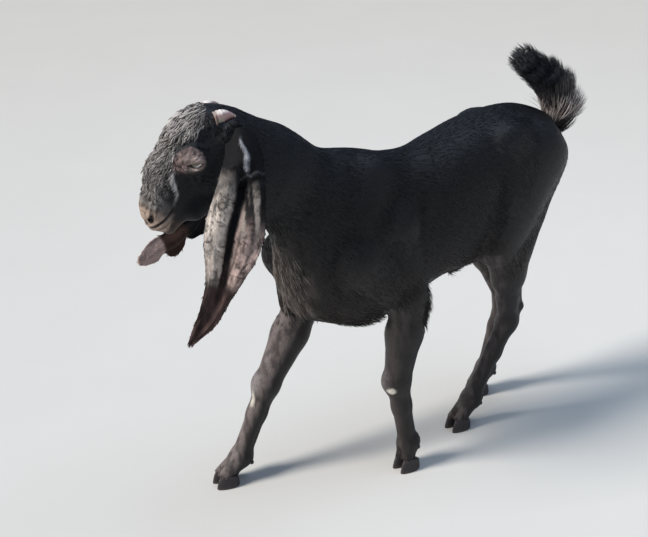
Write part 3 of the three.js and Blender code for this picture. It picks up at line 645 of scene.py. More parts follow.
def body_folds():
    """Folds and hollows of the body's skin: path, depth (below zero for a ridge) and width."""
    folds = []
    for k in range(5):
        x, near, far = -30 + 17 * k, 6 * abs(k - 2), 9 * abs(k - 2)
        ridge = (
            (x * 0.5 + 4, -232 + near, 520), (x * 0.8, -238 + far, 452),
            (x * 1.2 - 8, -214 + 6 * k, 388), (x - 18, -176 + 7 * k, 340),
        )
        furrow = (
            (x * 0.5 + 12, -232 + near, 500), (x * 0.8 + 9, -236 + far, 440), (x * 1.2 + 1, -210 + 6 * k, 380)
        )
        folds += [(ridge, -3.6, 6.0), (furrow, 2.4, 4.0)]
    for side in (-1, 1):
        for path, depth, width in (
            (((62, -178, 520), (72, -160, 440), (76, -120, 385)), 2.6, 10),
            (((74, 40, 560), (88, 24, 480), (86, 44, 396)), 3.0, 12),
            (((84, 214, 560), (84, 214, 490), (76, 200, 424)), 3.4, 15),
            (((66, 330, 560), (62, 330, 480), (50, 322, 400)), 2.4, 10),
        ):
            folds.append(([(side * x, y, z) for x, y, z in path], depth, width))
    return [(curve(path, 16), depth, width) for path, depth, width in folds]


def leg_folds():
    """The tendons, creases and hollows of the legs, written in the same way."""
    folds = []

    def fold(depth, width, steps, *path):
        folds.append((curve(path, steps), depth, width))

    def tendon(s, a, b, wide):
        fold(
            2.2, 4.0, 8, a + (s * wide, 9, 0), mix(a, b, 0.5) + (s * (wide - 2), 8, 0),
            b + (s * (wide - 1), 8, 0)
        )

    for name, leg in LEGS.items():
        joints = joints_of(leg)
        fetlock, foot = joints["fetlock"], joints["foot"]
        if name.startswith("fore"):
            knee = joints["knee"]
            for s in (-1, 1):
                tendon(s, mix(knee, fetlock, 0.18), mix(knee, fetlock, 0.86), 17)
            for edge, middle, depth in ((20, 22, 1.4), (-20, -22, 1.6)):
                fold(depth, 4.0, 8, knee + (-18, -22, edge), knee + (0, -30, middle), knee + (18, -22, edge))
        else:
            hock, heel = joints["hock"], joints["heel"]
            top = mix(joints["stifle"], hock, 0.62)
            for s in (-1, 1):
                tendon(s, mix(hock, fetlock, 0.15), mix(hock, fetlock, 0.86), 16)
                middle = mix(top, heel, 0.55) + (s * 13, 12, 0)
                fold(3.0, 5.0, 8, top + (s * 16, 26, 10), middle, heel + (s * 13, -6, 4))
        for s in (-1, 1):
            fold(
                1.2, 4.0, 6, fetlock + (s * 20, -14, 16), fetlock + (s * 23, 0, 12), fetlock + (s * 20, 14, 8)
            )
        fold(2.4, 3.2, 6, fetlock + (0, -26, -6), mix(fetlock, foot, 0.3) + (0, -24, 0), foot + (0, -26, 28))
    return folds


FOLDS = body_folds()
CHEST_FOLDS = 10  # how many of the first lie on the throat and chest
FOLDS += leg_folds()


def skin_distance(points):
    d = measure(points) + coat_depth(points)
    for path, depth, width in FOLDS:
        d = d + crease(points, path, depth, width)
    swell = ripple(points, 34, 11) - 0.5
    d = d + 1.6 * swell * rise(points[:, 2], 20, 90)
    return face_details(points, d)


# ---------------------------------------------------------------- from distance to mesh

def net(low, high, cell):
    """The plain body's surface as a mesh of triangles about one cell across."""
    axes = [np.arange(low[k], high[k] + cell, cell) for k in range(3)]
    x, y, z = axes[0][:, None, None], axes[1][None, :, None], axes[2][None, None, :]
    value = np.full((len(axes[0]), len(axes[1]), len(axes[2])), 1e3)
    for shape, box_low, box_high, width, *_ in FORMS:
        span = []
        for k in range(3):
            reach = width + 14
            first, last = np.searchsorted(axes[k], (box_low[k] - reach, box_high[k] + reach))
            span.append(slice(first, last))
        here = tuple(span)
        value[here] = blend(value[here], shape(x[here[0]], y[:, here[1]], z[:, :, here[2]]), width)
    value += SKIN_OFFSET
    value[value == 0] = 1e-6
    inside = value < 0
    n = [c - 1 for c in value.shape]
    corner = lambda array, a, b, c: array[a:a + n[0], b:b + n[1], c:c + n[2]]
    count = sum(corner(inside, a, b, c).astype(np.int8) for a in (0, 1) for b in (0, 1) for c in (0, 1))
    i, j, k = np.nonzero((count > 0) & (count < 8))
    number = np.full(n, -1)
    number[i, j, k] = np.arange(len(i))
    total, hits = np.zeros((len(i), 3)), np.zeros(len(i))
    for axis in range(3):
        for u in (0, 1):
            for v in (0, 1):
                a = [0, 0, 0]
                a[(axis + 1) % 3], a[(axis + 2) % 3] = u, v
                b = list(a)
                b[axis] = 1
                va = value[i + a[0], j + a[1], k + a[2]]
                vb = value[i + b[0], j + b[1], k + b[2]]
                hit = (va < 0) != (vb < 0)
                t = np.where(hit, va / np.where(hit, va - vb, 1), 0)
                step = np.tile(np.array(a, float), (len(i), 1))
                step[:, axis] = t
                total[hit] += step[hit]
                hits[hit] += 1
    points = np.array(low) + (np.stack([i, j, k], 1) + total / hits[:, None]) * cell
    faces = []
    for axis in range(3):
        u, v = (axis + 1) % 3, (axis + 2) % 3
        first = [slice(None)] * 3
        second = [slice(None)] * 3
        first[axis], second[axis] = slice(0, -1), slice(1, None)
        change = inside[tuple(first)] != inside[tuple(second)]
        at = np.argwhere(change)
        at = at[(at[:, u] > 0) & (at[:, v] > 0) & (at[:, u] < n[u]) & (at[:, v] < n[v])]
        ring = []
        for du, dv in ((0, 0), (1, 0), (1, 1), (0, 1)):
            q = at.copy()
            q[:, u] -= du
            q[:, v] -= dv
            ring.append(number[tuple(q.T)])
        quad = np.stack(ring, 1)
        flip = ~inside[tuple(at.T)]
        quad[flip] = quad[flip][:, ::-1]
        faces += [quad[:, [0, 1, 2]], quad[:, [0, 2, 3]]]
    return points, np.concatenate(faces)


def edges_of(faces):
    ends = np.sort(faces[:, [0, 1, 1, 2, 2, 0]].reshape(-1, 2), 1)
    return np.unique(ends, axis=0)


def relax(points, edges, share, pick=None):
    total = np.zeros_like(points)
    count = np.bincount(edges.ravel(), minlength=len(points)).astype(float)
    for k in range(3):
        total[:, k] = (
            np.bincount(edges[:, 0], points[edges[:, 1], k], len(points))
            + np.bincount(edges[:, 1], points[edges[:, 0], k], len(points))
        )
    moved = mix(points, total / np.maximum(count, 1)[:, None], share)
    return moved if pick is None else np.where(pick[:, None], moved, points)


def settle(points, distance, turns, step, pick=None):
    """Points moved along the distance's slope until they lie where it is zero."""
    points = points.copy()
    index = np.arange(len(points)) if pick is None else np.flatnonzero(pick)
    p = points[index]
    e = 0.35
    for _ in range(turns):
        d = distance(p)
        slope = np.stack([distance(p + e * axis) - d for axis in np.eye(3)], 1) / e
        move = -d[:, None] * slope / np.maximum((slope ** 2).sum(1), 0.2)[:, None]
        length = np.linalg.norm(move, axis=1, keepdims=True)
        p = p + move * np.minimum(1, step / np.maximum(length, 1e-9))
    points[index] = p
    return points


def refine(points, faces, pick):
    """Faces that are picked are split in four, and their neighbours to match."""
    ends = np.sort(faces[:, [0, 1, 1, 2, 2, 0]].reshape(-1, 2), 1)
    size = len(points)
    keys, back = np.unique(ends[:, 0] * size + ends[:, 1], return_inverse=True)
    back = back.reshape(-1, 3)
    split = np.zeros(len(keys), bool)
    split[back[pick].ravel()] = True
    number = np.cumsum(split) - 1 + size
    a, b = keys[split] // size, keys[split] % size
    points = np.concatenate([points, (points[a] + points[b]) / 2])
    middle = np.where(split[back], number[back], -1)
    count = (middle >= 0).sum(1)
    out = [faces[count == 0]]
    v, e = faces[count == 3], middle[count == 3]
    out += [
        np.stack(c, 1)
        for c in (
            (v[:, 0], e[:, 0], e[:, 2]), (v[:, 1], e[:, 1], e[:, 0]), (v[:, 2], e[:, 2], e[:, 1]),
            (e[:, 0], e[:, 1], e[:, 2])
        )
    ]
    for turn in range(3):
        order = [turn, (turn + 1) % 3, (turn + 2) % 3]
        v, e = faces[:, order], middle[:, order]
        one = (count == 1) & (e[:, 0] >= 0)
        out += [
            np.stack(c, 1) for c in ((v[one, 0], e[one, 0], v[one, 2]), (e[one, 0], v[one, 1], v[one, 2]))
        ]
        two = (count == 2) & (e[:, 2] < 0)
        out += [
            np.stack(c, 1)
            for c in (
                (e[two, 0], v[two, 1], e[two, 1]), (v[two, 0], e[two, 0], e[two, 1]),
                (v[two, 0], e[two, 1], v[two, 2])
            )
        ]
    return points, np.concatenate(out)


def normals_of(points, faces):
    a, b, c = (points[faces[:, k]] for k in range(3))
    normal = np.cross(b - a, c - a)
    out = np.zeros_like(points)
    for k in range(3):
        for m in range(3):
            out[:, m] += np.bincount(faces[:, k], normal[:, m], len(points))
    return unit(out)


def sleeve(number):
    """Two lots of triangles between rows of numbered points, each row a closed ring."""
    a, b = number[:-1], np.roll(number, -1, 1)[:-1]
    c, d = np.roll(number, -1, 1)[1:], number[1:]
    return [np.stack(corners, -1).reshape(-1, 3) for corners in ((a, b, c), (a, c, d))]


def facing_out(points, faces):
    """The faces of a closed mesh, turned round if they face inwards."""
    a, b, c = (points[faces[:, k]] for k in range(3))
    return faces if np.einsum("ij,ij->i", a, np.cross(b, c)).sum() > 0 else faces[:, ::-1]


def joined(made):
    """Many (points, faces, values...) put together as one, in order."""
    points, faces, *values = zip(*made)
    shifts = np.cumsum([0, *map(len, points[:-1])])
    faces = [each + shift for each, shift in zip(faces, shifts)]
    return [np.concatenate(each) for each in (points, faces, *values)]


# ---------------------------------------------------------------- ears

def ear_point(rows, t, s):
    """A point on an ear's middle surface: t from root to tip, s from front (-1) to back (1)."""
    side = np.sign(rows[0, 1])
    row = read_rows(rows, t)
    x, front, back, fold, turn = row[..., :3], row[..., 3], row[..., 4], row[..., 5], np.radians(row[..., 6])
    ahead = read_rows(rows, np.minimum(t + 0.01, 1))[..., :3]
    behind = read_rows(rows, np.maximum(t - 0.01, 0))[..., :3]
    along = unit(ahead - behind)
    facing = np.stack([side * np.cos(turn), -np.sin(turn), 0 * turn], -1)
    out = unit(facing - along * (facing * along).sum(-1, keepdims=True))
    forward = np.cross(along, out) * side
    reach = np.where(s < 0, -s * front, -s * back)
    channel = 1 - 1.6 * bell(reach, FOLD_WIDTH)
    channel = mix(np.cos(s * 1.4) * 1.15, channel, rise(t, 0.15, 0.30))
    lift = fold * channel * (1 - 0.45 * s * s)
    if side > 0:
        # The buckle where the rolled root opens out, and the waves of the back flap.
        crumple = t - 0.232 + 0.03 * s + 0.006 * np.sin(13 * s)
        lift = lift + 3.6 * bell(crumple, 0.009) * bell(s - 0.35, 0.5)
        lift = lift + 3.0 * bell(crumple + 0.03 - 0.05 * s, 0.012) * bell(s + 0.3, 0.35)
        lift = lift - 5.0 * bell(crumple - 0.035, 0.018) * bell(s - 0.2, 0.5)
        crest = s - 0.02 - 1.1 * (t - 0.1) - 0.05 * np.sin(60 * t)
        lift = lift + 4.5 * bell(crest, 0.10) * rise(t, 0.03, 0.10) * (1 - rise(t, 0.19, 0.23))
        lift = lift + 4.6 * np.sin(17 * t + 2.6 * s) * rise(s, 0.3, 0.95) * rise(t, 0.28, 0.4)
        lift = lift + 1.8 * np.sin(41 * t + 3 * s) * rise(np.abs(s), 0.55, 0.95) * rise(t, 0.28, 0.4)
        lift = lift + 2.6 * np.sin(24 * t + 1.0) * rise(-s, 0.45, 1.0) * rise(t, 0.3, 0.4)
    else:
        lift = lift + 2.2 * np.sin(12 * t + 2 * s) * rise(np.abs(s), 0.4, 0.95) * rise(t, 0.3, 0.42)
    return x + forward * reach[..., None] + out * lift[..., None]


EAR_STEPS, EAR_ACROSS = 150, 54


def ear_veins(t, s):
    """Raised veins and wrinkles that wander down the open side of an ear."""
    veins = 0.0 * t
    for start, lean, sway, seed in (
        (-0.86, 0.06, 0.05, 1), (-0.66, 0.12, 0.07, 2), (-0.46, 0.16, 0.07, 3), (-0.28, -0.02, 0.03, 4),
        (0.2, 0.02, 0.02, 5), (0.36, 0.12, 0.06, 6), (0.55, 0.10, 0.08, 7), (0.78, -0.16, 0.08, 8),
    ):
        line = start + lean * t + sway * np.sin(9 * t + seed * 2.1) + 0.02 * np.sin(37 * t + seed)
        width = 0.036 + 0.014 * np.sin(17 * t + seed)
        veins = veins + bell(s - line, width) * (0.6 + 0.4 * np.sin(23 * t + 3 * seed))
    for k in range(7):
        across = t - (0.3 + 0.075 * k) - 0.07 * s * (-1) ** k
        veins = veins + 0.7 * bell(across, 0.006) * rise(np.sin(5 * s + 2.3 * k), 0.1, 0.7)
    return np.clip(veins, 0, 1.3)


def ear_cracks(t, s):
    """1 in the fine furrows that wander over the open side of an ear."""
    across = 40 * s + 3 * np.sin(21 * t)
    total = 0 * t
    for seed, scale in ((54, (9, 44, 4)), (55, (6, 26, 4)), (56, (22, 9, 4))):
        grain = ripple(np.stack([across, 330 * t, 0 * t], -1), scale, seed)
        total = np.maximum(total, bell(grain - 0.5, 0.028))
    return total * rise(ripple(np.stack([across, 330 * t, 0 * t], -1), (12, 24, 4), 57), 0.3, 0.5)


def ear_mesh(rows):
    """Points, faces, and for each point its place along and across and which skin it is on."""
    t = np.linspace(0, 1, EAR_STEPS + 1)[:, None] * np.ones(EAR_ACROSS + 1)
    s = np.sin(np.linspace(-1, 1, EAR_ACROSS + 1) * np.pi / 2) * np.ones((EAR_STEPS + 1, 1))
    middle = ear_point(rows, t, s)
    across = ear_point(rows, t, np.minimum(s + 0.02, 1)) - ear_point(rows, t, np.maximum(s - 0.02, -1))
    down = ear_point(rows, np.minimum(t + 0.015, 1), s) - ear_point(rows, np.maximum(t - 0.015, 0), s)
    normal = unit(np.cross(across, down))
    side = np.sign(rows[0, 1])
    reach = np.where(s < 0, -s * read_rows(rows, t)[..., 3], -s * read_rows(rows, t)[..., 4])
    half = 1.9 * (1 - 0.55 * s ** 4) * mix(1.25, 1, rise(t, 0.2, 0.4))
    # Ridges and veins that run down the open side of the ear.
    open_side = rise(t, 0.24, 0.34)
    veins = ear_veins(t, s)
    rough = ripple(np.stack([reach, 0.6 * t * 330, 0 * t], -1), (4.5, 6.5, 4), 21) - 0.5
    inner = half + open_side * (1.3 * veins + 1.3 * rough - 1.1 * ear_cracks(t, s)) * (1 - s ** 4)
    outer = half + 0.4 * rough
    toward = np.where(side > 0, 1, -1)
    front = middle - toward * normal * inner[..., None]
    rear = middle + toward * normal * outer[..., None]
    ring = np.concatenate([front, rear[:, ::-1]], 1)
    count = ring.shape[1]
    skin = np.concatenate([np.ones_like(t), np.zeros_like(t)], 1)
    ts = np.concatenate([t, t[:, ::-1]], 1)
    ss = np.concatenate([s, s[:, ::-1]], 1)
    number = np.arange(ring.shape[0] * count).reshape(-1, count)
    faces = np.concatenate(sleeve(number))
    points = ring.reshape(-1, 3)
    caps = []
    for row, flip in ((0, True), (-1, False)):
        centre = len(points)
        points = np.concatenate([points, ring[row].mean(0)[None]])
        ring_number = number[row]
        tri = np.stack([np.full(count, centre), ring_number, np.roll(ring_number, -1)], 1)
        caps.append(tri[:, ::-1] if flip else tri)
    faces = np.concatenate([faces, *caps])
    extra = lambda values: np.concatenate([values.reshape(-1), values[0, :1], values[-1, :1]])
    return points, facing_out(points, faces), extra(ts), extra(ss), extra(skin)


# ---------------------------------------------------------------- markings

BLACK = vec(0.0055, 0.0055, 0.0066)
TINTS = {
    "back": vec(0.0085, 0.0095, 0.0130),
    "belly": vec(0.0125, 0.0090, 0.0075),
    "leg": vec(0.0095, 0.0070, 0.0070),
    "lit_leg": vec(0.135, 0.110, 0.106),
    "lock": vec(0.158, 0.146, 0.142),
    "lock_furrow_shade": vec(0.020, 0.018, 0.018),
    "bare": vec(0.128, 0.090, 0.084),
    "lid": vec(0.420, 0.320, 0.285),
    "lower_lid_glint": vec(0.720, 0.560, 0.510),
    "lid_fold": vec(0.300, 0.250, 0.235),
    "muzzle": vec(0.340, 0.255, 0.205),
    "muzzle_grey": vec(0.130, 0.112, 0.104),
    "lip": vec(0.300, 0.235, 0.200),
    "sheen": vec(0.640, 0.620, 0.620),
    "jaw": vec(0.060, 0.038, 0.032),
    "hollow_shade": vec(0.006, 0.004, 0.004),
    "fold": vec(0.300, 0.245, 0.215),
    "callus": vec(0.180, 0.165, 0.165),
    "white": vec(0.620, 0.580, 0.520),
    "ear_grey": vec(0.200, 0.175, 0.158),
    "ear_pink": vec(0.245, 0.185, 0.170),
    "ear_brown": vec(0.042, 0.024, 0.020),
    "ear_crack": vec(0.030, 0.024, 0.022),
    "ear_tip": vec(0.045, 0.029, 0.027),
    "far_tip_sunlit": vec(0.330, 0.250, 0.235),
}


def lay(tint, colour, amount):
    """Lays a colour, or one of the TINTS by its name, over a tint."""
    colour = TINTS[colour] if isinstance(colour, str) else colour
    return mix(tint, colour, np.clip(amount, 0, 1)[:, None])


def body_tint(points, part):
    """Colour of skin and coat at points of the body, and how rough its shine is."""
    tint = np.tile(BLACK, (len(points), 1))
    gloss = np.full(len(points), 0.42)
    _, y, z = points.T
    cloud = ripple(points, 45, 31)
    fine = ripple(points, 12, 32)
    leg = on(part, *LEGS)
    # Painted sky sheen: the top of the back is laid bluer and paler than the black coat below it.
    tint = lay(tint, "back", rise(z, 560, 660) * 0.9)
    tint = lay(tint, "belly", (1 - rise(z, 380, 500)) * (0.5 + 0.5 * cloud))
    tint = lay(tint, "leg", leg * (1 - rise(z, 260, 400)) * (0.6 + 0.4 * fine))
    # Painted sunlight and sheen on the front faces of the legs, then the bare patches of the knees.
    for name, reach, much in (
        ("fore_right", 9, 1.25), ("hind_left", 11, 0.5), ("fore_left", 11, 0.22), ("hind_right", 10, 0.5)
    ):
        joints = LEGS[name]
        top = joints["elbow"] if "elbow" in joints else joints["stifle"]
        mid = joints["knee"] if "knee" in joints else joints["hock"]
        path = [vec(*top), vec(*mid), vec(*joints["fetlock"]), vec(*joints["foot"])]
        ahead = np.full(len(points), -1e3)
        for a, b in zip(path, path[1:]):
            if b[2] < a[2]:
                t = (z - a[2]) / (b[2] - a[2])
                centre = a[1] + (b[1] - a[1]) * np.clip(t, 0, 1)
                ahead = np.where((t >= 0) & (t <= 1), centre - y, ahead)
        mine = part == PARTS.index(name)
        tint = lay(
            tint, "lit_leg",
            mine * rise(ahead, reach - 6, reach + 14) * much
            * (0.3 + 0.8 * rise(ripple(points, (6, 6, 30), 33), 0.3, 0.7))
        )
    for name in ("fore_left", "fore_right"):
        knee = vec(*LEGS[name]["knee"])
        d = np.linalg.norm((points - knee - (0, -26, 6)) / (16, 14, 26), axis=1)
        tint = lay(
            tint, "callus",
            (1 - rise(d, 0.5, 1.25)) * (0.9 if name == "fore_right" else 0.35) * (0.4 + 0.8 * fine)
        )
    spot = np.linalg.norm((points - vec(90, -46, 191)) / (12, 9, 8.5), axis=1)
    tint = lay(tint, "white", 1 - rise(spot, 0.75, 1.15))
    streak = np.linalg.norm((points - vec(-72, -257, 172)) / (7, 8, 22), axis=1)
    tint = lay(tint, "white", 0.75 * (1 - rise(streak, 0.5, 1.1)))
    # Loose folds of the throat and chest, with a painted highlight laid on their ridges.
    for path, depth, width in FOLDS[:CHEST_FOLDS]:
        near = crease(points, path, 1.0, width * 0.7)
        tint = lay(tint, "fold", near * (0.75 if depth < 0 else 0.0) * (0.5 + 0.5 * fine))
    # Pale streaks over the chest: partly tan hair, partly painted sunlight.
    chest = np.exp(-((((points - vec(12, -218, 425)) / (46, 34, 66)) ** 2).sum(1)))
    tint = lay(
        tint, TINTS["fold"] * 0.7, chest * (0.25 + 0.6 * rise(ripple(points, (7, 7, 30), 34), 0.3, 0.7))
    )
    scar = np.minimum(
        np.linalg.norm((points - vec(82, 206, 614)) / (20, 4, 9), axis=1),
        np.linalg.norm((points - vec(84, 90, 588)) / (20, 7, 3), axis=1)
    )
    tint = lay(tint, "callus", 0.4 * (1 - rise(scar, 0.5, 1.1)) * fine)
    gloss = mix(gloss, 0.35, leg)
    return face_tint(points, tint, gloss)


def face_tint(points, tint, gloss):
    h = head_space(points)
    _, along, up = h.T
    here = (points[:, 1] < -300) & (along > -20) & (up > -115)
    fine, grain = ripple(h, 5, 41), ripple(h, (10, 16, 10), 42)
    top = locks_here(h) * here
    # Painted shade and highlight under the locks: dark in the furrows, pale on the ridges.
    tint = lay(tint, mix(TINTS["lock_furrow_shade"], TINTS["lock"] * 0.6, strands(h)[:, None]), top)
    jaw = rise(along, 190, 210) * (1 - rise(up, -40, -22)) * here
    tint = lay(tint, "jaw", jaw * (0.6 + 0.5 * grain))
    side_grey = rise(along, 178, 196) * rise(up, -16, -6) * here
    tint = lay(tint, "muzzle_grey", side_grey * (0.5 + 0.5 * fine))
    snout = rise(along, 200, 216) * rise(up, -34, -24) * here
    tint = lay(tint, TINTS["muzzle"] * 0.25, snout)
    tint = lay(tint, "muzzle", snout * rise(fine * 0.6 + grain * 0.4, 0.28, 0.55))
    # Painted shade in the furrows and painted highlight on the rolls across the top of the snout.
    bridge = rise(along, 172, 190) * (1 - rise(along, 206, 218)) * rise(up, 6, 16) * here
    tint = lay(
        tint, mix(TINTS["lock"] * 0.3, TINTS["lock"] * 1.3, snout_rolls(h)[:, None]),
        bridge * (0.45 + 0.55 * grain)
    )
    line = mouth_line(along)
    lips = bump_at(up, line - 5, 5.5) * rise(along, 190, 208) * here
    tint = lay(tint, "lip", lips * 0.9)
    # Painted shade in the groove of the mouth.
    mouth = bump_at(up, line, 2.3) * rise(along, 184, 192) * here
    tint = lay(tint, "hollow_shade", mouth)
    for side in (-1, 1):
        centre, out, front, upward = eye_frame(side)
        q = points - centre
        r = np.linalg.norm(q, axis=1)
        ahead = q @ out
        near_eye = (ahead > 2) & (r < 60)
        a, b = np.arctan2(q @ front, np.maximum(ahead, 1e-3)), np.arctan2(q @ upward, np.maximum(ahead, 1e-3))
        patch = np.exp(-(((q @ front - 9) / 32) ** 6 + ((q @ upward - 14) / 26) ** 6)) * near_eye
        blotch = rise(ripple(h, (4, 6, 4), 45), 0.25, 0.7)
        tint = lay(
            tint, TINTS["bare"] * (0.6 + 0.7 * blotch[:, None]),
            rise(patch, 0.15, 0.6) * (0.7 + 0.3 * grain) * (1 - 0.8 * top)
        )
        upper, lower = lid_lines(a)
        ball = near_eye & (r < EYE_RADIUS + 10)
        # The pink upper lid, laid paler by a painted highlight.
        tint = lay(
            tint, "lid", ball * bump_at(b, upper + 0.36, 0.36) * bump_at(a, -0.25, 0.6) * (0.6 + 0.4 * fine)
        )
        tint = lay(tint, "lid_fold", ball * bump_at(b, lower - 0.42, 0.16) * bump_at(a, 0.55, 0.55))
        # A painted glint: the wet lower lid laid near white below the eye's opening.
        tint = lay(
            tint, "lower_lid_glint",
            ball * np.clip(1.5 * bump_at(b, lower - 0.17, 0.15) * bump_at(a, -0.34, 0.5), 0, 1)
        )
        # Dark lid rims: partly the lids' own dark edges, partly painted shade where the lids meet the eye.
        rim = ball * np.maximum(bump_at(b, upper, 0.055), bump_at(b, lower, 0.035))
        tint = lay(tint, TINTS["hollow_shade"] * 1.5, rim * 0.85 * (np.abs(a) < 1.1))
        # Painted shade in the crease from the eye's front corner.
        slit = curve(
            [
                centre + front * 9.5 + out * 12, centre + front * 14 + out * 10 - upward * 1.5,
                centre + front * 19 + out * 7 - upward * 3
            ],
            8
        )
        tint = lay(tint, TINTS["hollow_shade"] * 2, crease(points, slit, 1.0, 2.6) * near_eye)
        comma = curve([head(side * c, *rest) for c, *rest in NOSTRIL], 9)
        # Painted shade in the folds of the muzzle.
        for path in MUZZLE_FOLDS:
            path = curve([head(side * c, *rest) for c, *rest in path], 9)
            tint = lay(tint, TINTS["hollow_shade"] * 3, 0.8 * crease(points, path, 1.0, 1.7))
        # Painted shade inside the nostril.
        hollow = np.min([away_from(points, c) - 5.5 + 0.56 * i for i, c in enumerate(comma)], 0)
        tint = lay(tint, "hollow_shade", 1 - rise(hollow, -0.4, 1.2))
        pale = curve([head(side * c, *rest) for c, *rest in CREST], 10)
        tint = lay(tint, "sheen", crease(points, pale, 1.25, 3.0) * (0.55 + 0.5 * fine))
        under = np.exp(-(((q @ front + 4) / 20) ** 2 + ((q @ upward + 22) / 10) ** 2)) * near_eye
        tint = lay(tint, TINTS["muzzle_grey"] * 0.5, under * rise(ripple(h, (3, 9, 12), 43), 0.45, 0.7))
        gloss = mix(gloss, 0.3, crease(points, pale, 1.0, 3.0))
        gloss = np.where(ball, 0.34, gloss)
    gloss = mix(gloss, 0.5, snout)
    return tint, gloss


def ear_tint(side, t, s, inner, points):
    grain = ripple(points, (7, 7, 12), 51)
    fine = ripple(points, 3.6, 52)
    tint = np.tile(BLACK * 1.3, (len(t), 1))
    open_side = inner * rise(t + 0.05 * rise(-s, 0.1, 0.5), 0.23, 0.36)
    veins = ear_veins(t, s)
    if side > 0:
        # The flaps' inner sides are laid pale and the channel between them is left black: painted shade in
        # the depth of the fold.
        front = open_side * rise(-s, 0.16, 0.34) * (1 - rise(t, 0.68, 0.80))
        mottle = (0.45 + 0.55 * rise(0.7 * grain + 0.3 * fine, 0.34, 0.66)) * (0.7 + 0.45 * veins)
        front = front * (0.3 + 0.7 * rise(t + 0.09 * grain, 0.35, 0.46))
        tint = lay(tint, TINTS["ear_grey"] * 0.9, front)
        tint = lay(tint, TINTS["ear_grey"] * 3.5, front * mottle)
        ridge = open_side * bump_at(s, 0.2, 0.05) * rise(t, 0.32, 0.4) * (1 - rise(t, 0.62, 0.74))
        tint = lay(tint, TINTS["ear_pink"] * 1.7, ridge * 0.8)
        rear = open_side * rise(s, 0.25, 0.36) * rise(t, 0.36, 0.52) * (1 - rise(t, 0.71, 0.77))
        blotch = rise(0.6 * grain + 0.4 * fine, 0.2, 0.7) * rise(t, 0.30, 0.56)
        tint = lay(tint, TINTS["ear_pink"] * 1.8, rear * (0.3 + 0.7 * blotch) * (1 - 0.35 * veins))
        streak = open_side * rise(s, 0.22, 0.3) * (1 - rise(t, 0.42, 0.56))
        lines = rise(
            ripple(np.stack([s * 40 + 6 * np.sin(9 * t), t * 60, 0 * t], -1), (4, 16, 4), 53), 0.5, 0.72
        )
        tint = lay(tint, TINTS["ear_grey"] * 1.3, streak * lines)
        crest = s - 0.02 - 1.1 * (t - 0.1) - 0.05 * np.sin(60 * t)
        lit = (
            bump_at(crest, 0.0, mix(0.03, 0.10, rise(t, 0.06, 0.16))) * rise(t, 0.03, 0.08)
            * (1 - rise(t, 0.19, 0.215))
        )
        crumple = t - 0.232 + 0.03 * s + 0.006 * np.sin(13 * s)
        lit = np.maximum(
            lit, 0.22 * bump_at(crumple, -0.002, 0.003) * rise(s, -0.35, -0.1) * rise(fine, 0.3, 0.5)
        )
        tint = lay(tint, TINTS["sheen"] * (0.42, 0.45, 0.5), lit * (0.25 + 0.75 * rise(fine, 0.3, 0.6)))
        # Painted shade in the fine furrows of the open side.
        tint = lay(tint, "ear_crack", open_side * ear_cracks(t, s) * 0.85 * (1 - rise(t, 0.7, 0.78)))
        low = rise(t, 0.72, 0.80) + rise(t, 0.60, 0.70) * (1 - rise(s, 0.12, 0.3)) * rise(s, -0.2, 0.0)
        tint = lay(tint, TINTS["ear_tip"] * (0.5 + 1.4 * grain[:, None]), low)
    else:
        tint = lay(tint, "ear_brown", rise(t, 0.655, 0.69) * (0.7 + 0.3 * grain))
        # The far ear's tip: pink skin laid as sunlit, with a sharp painted shadow edge against the brown lobe
        # and a painted highlight line along that edge.
        tint = lay(tint, "far_tip_sunlit", rise(t, 0.85, 0.875) * (0.75 + 0.25 * grain))
        tint = lay(tint, TINTS["ear_pink"] * 1.7, bump_at(t, 0.868, 0.012) * 0.8)
        front = open_side * rise(-s, 0.16, 0.34) * (1 - rise(t, 0.5, 0.6))
        tint = lay(tint, "ear_grey", front * (0.25 + 0.6 * grain))
    rim = np.abs(s) > 0.985
    tint = lay(tint, BLACK * 1.5, rim * (t < 0.84) * 0.8)
    return tint, np.full(len(t), 0.58)


# ---------------------------------------------------------------- coat

def flow_of(way, normal):
    """The way the hair lies, in the plane of the skin."""
    way = way - normal * (way * normal).sum(1, keepdims=True)
    return unit(way)


def unwrap(points, part):
    """A place on a flat layout of the skin: each part is a sleeve cut along its inner side."""
    u, v = np.zeros(len(points)), np.zeros(len(points))
    x, y, z = points.T
    for index, name in enumerate(PARTS):
        m = part == index
        if not m.any():
            continue
        if name in LEGS:
            joints = [vec(*value) for key, value in LEGS[name].items() if key not in ("turn", "heel")]
            joints = sorted(joints, key=lambda j: j[2])
            rows = np.array(joints)
            cx, cy = np.interp(z[m], rows[:, 2], rows[:, 0]), np.interp(z[m], rows[:, 2], rows[:, 1])
            u[m], v[m] = np.arctan2(y[m] - cy, x[m] - cx), z[m] / 640
        elif name == "trunk":
            u[m], v[m] = np.arctan2(x[m], z[m] - 500), (y[m] + 240) / 680
        elif name == "neck":
            d = unit(vec(0, -202, 161))
            r = points[m] - vec(0, -120, 545)
            u[m], v[m] = np.arctan2(r[:, 0], r @ np.cross(d, vec(1, 0, 0))), (r @ d + 60) / 380
        elif name == "head":
            h = head_space(points[m])
            u[m], v[m] = np.arctan2(h[:, 0], h[:, 2] + 20), (h[:, 1] + 40) / 300
        else:
            turn = np.arctan2(z[m] - 640, y[m] - 350)
            u[m], v[m] = np.arctan2(x[m], np.hypot(y[m] - 350, z[m] - 640) - 85), (turn + 1.2) / 3.6
    column, row = part % 4, part // 4
    return np.stack(
        [(column + 0.03 + 0.94 * (u / (2 * np.pi) + 0.5)) / 4, (row + 0.03 + 0.94 * np.clip(v, 0, 1)) / 3], 1
    )


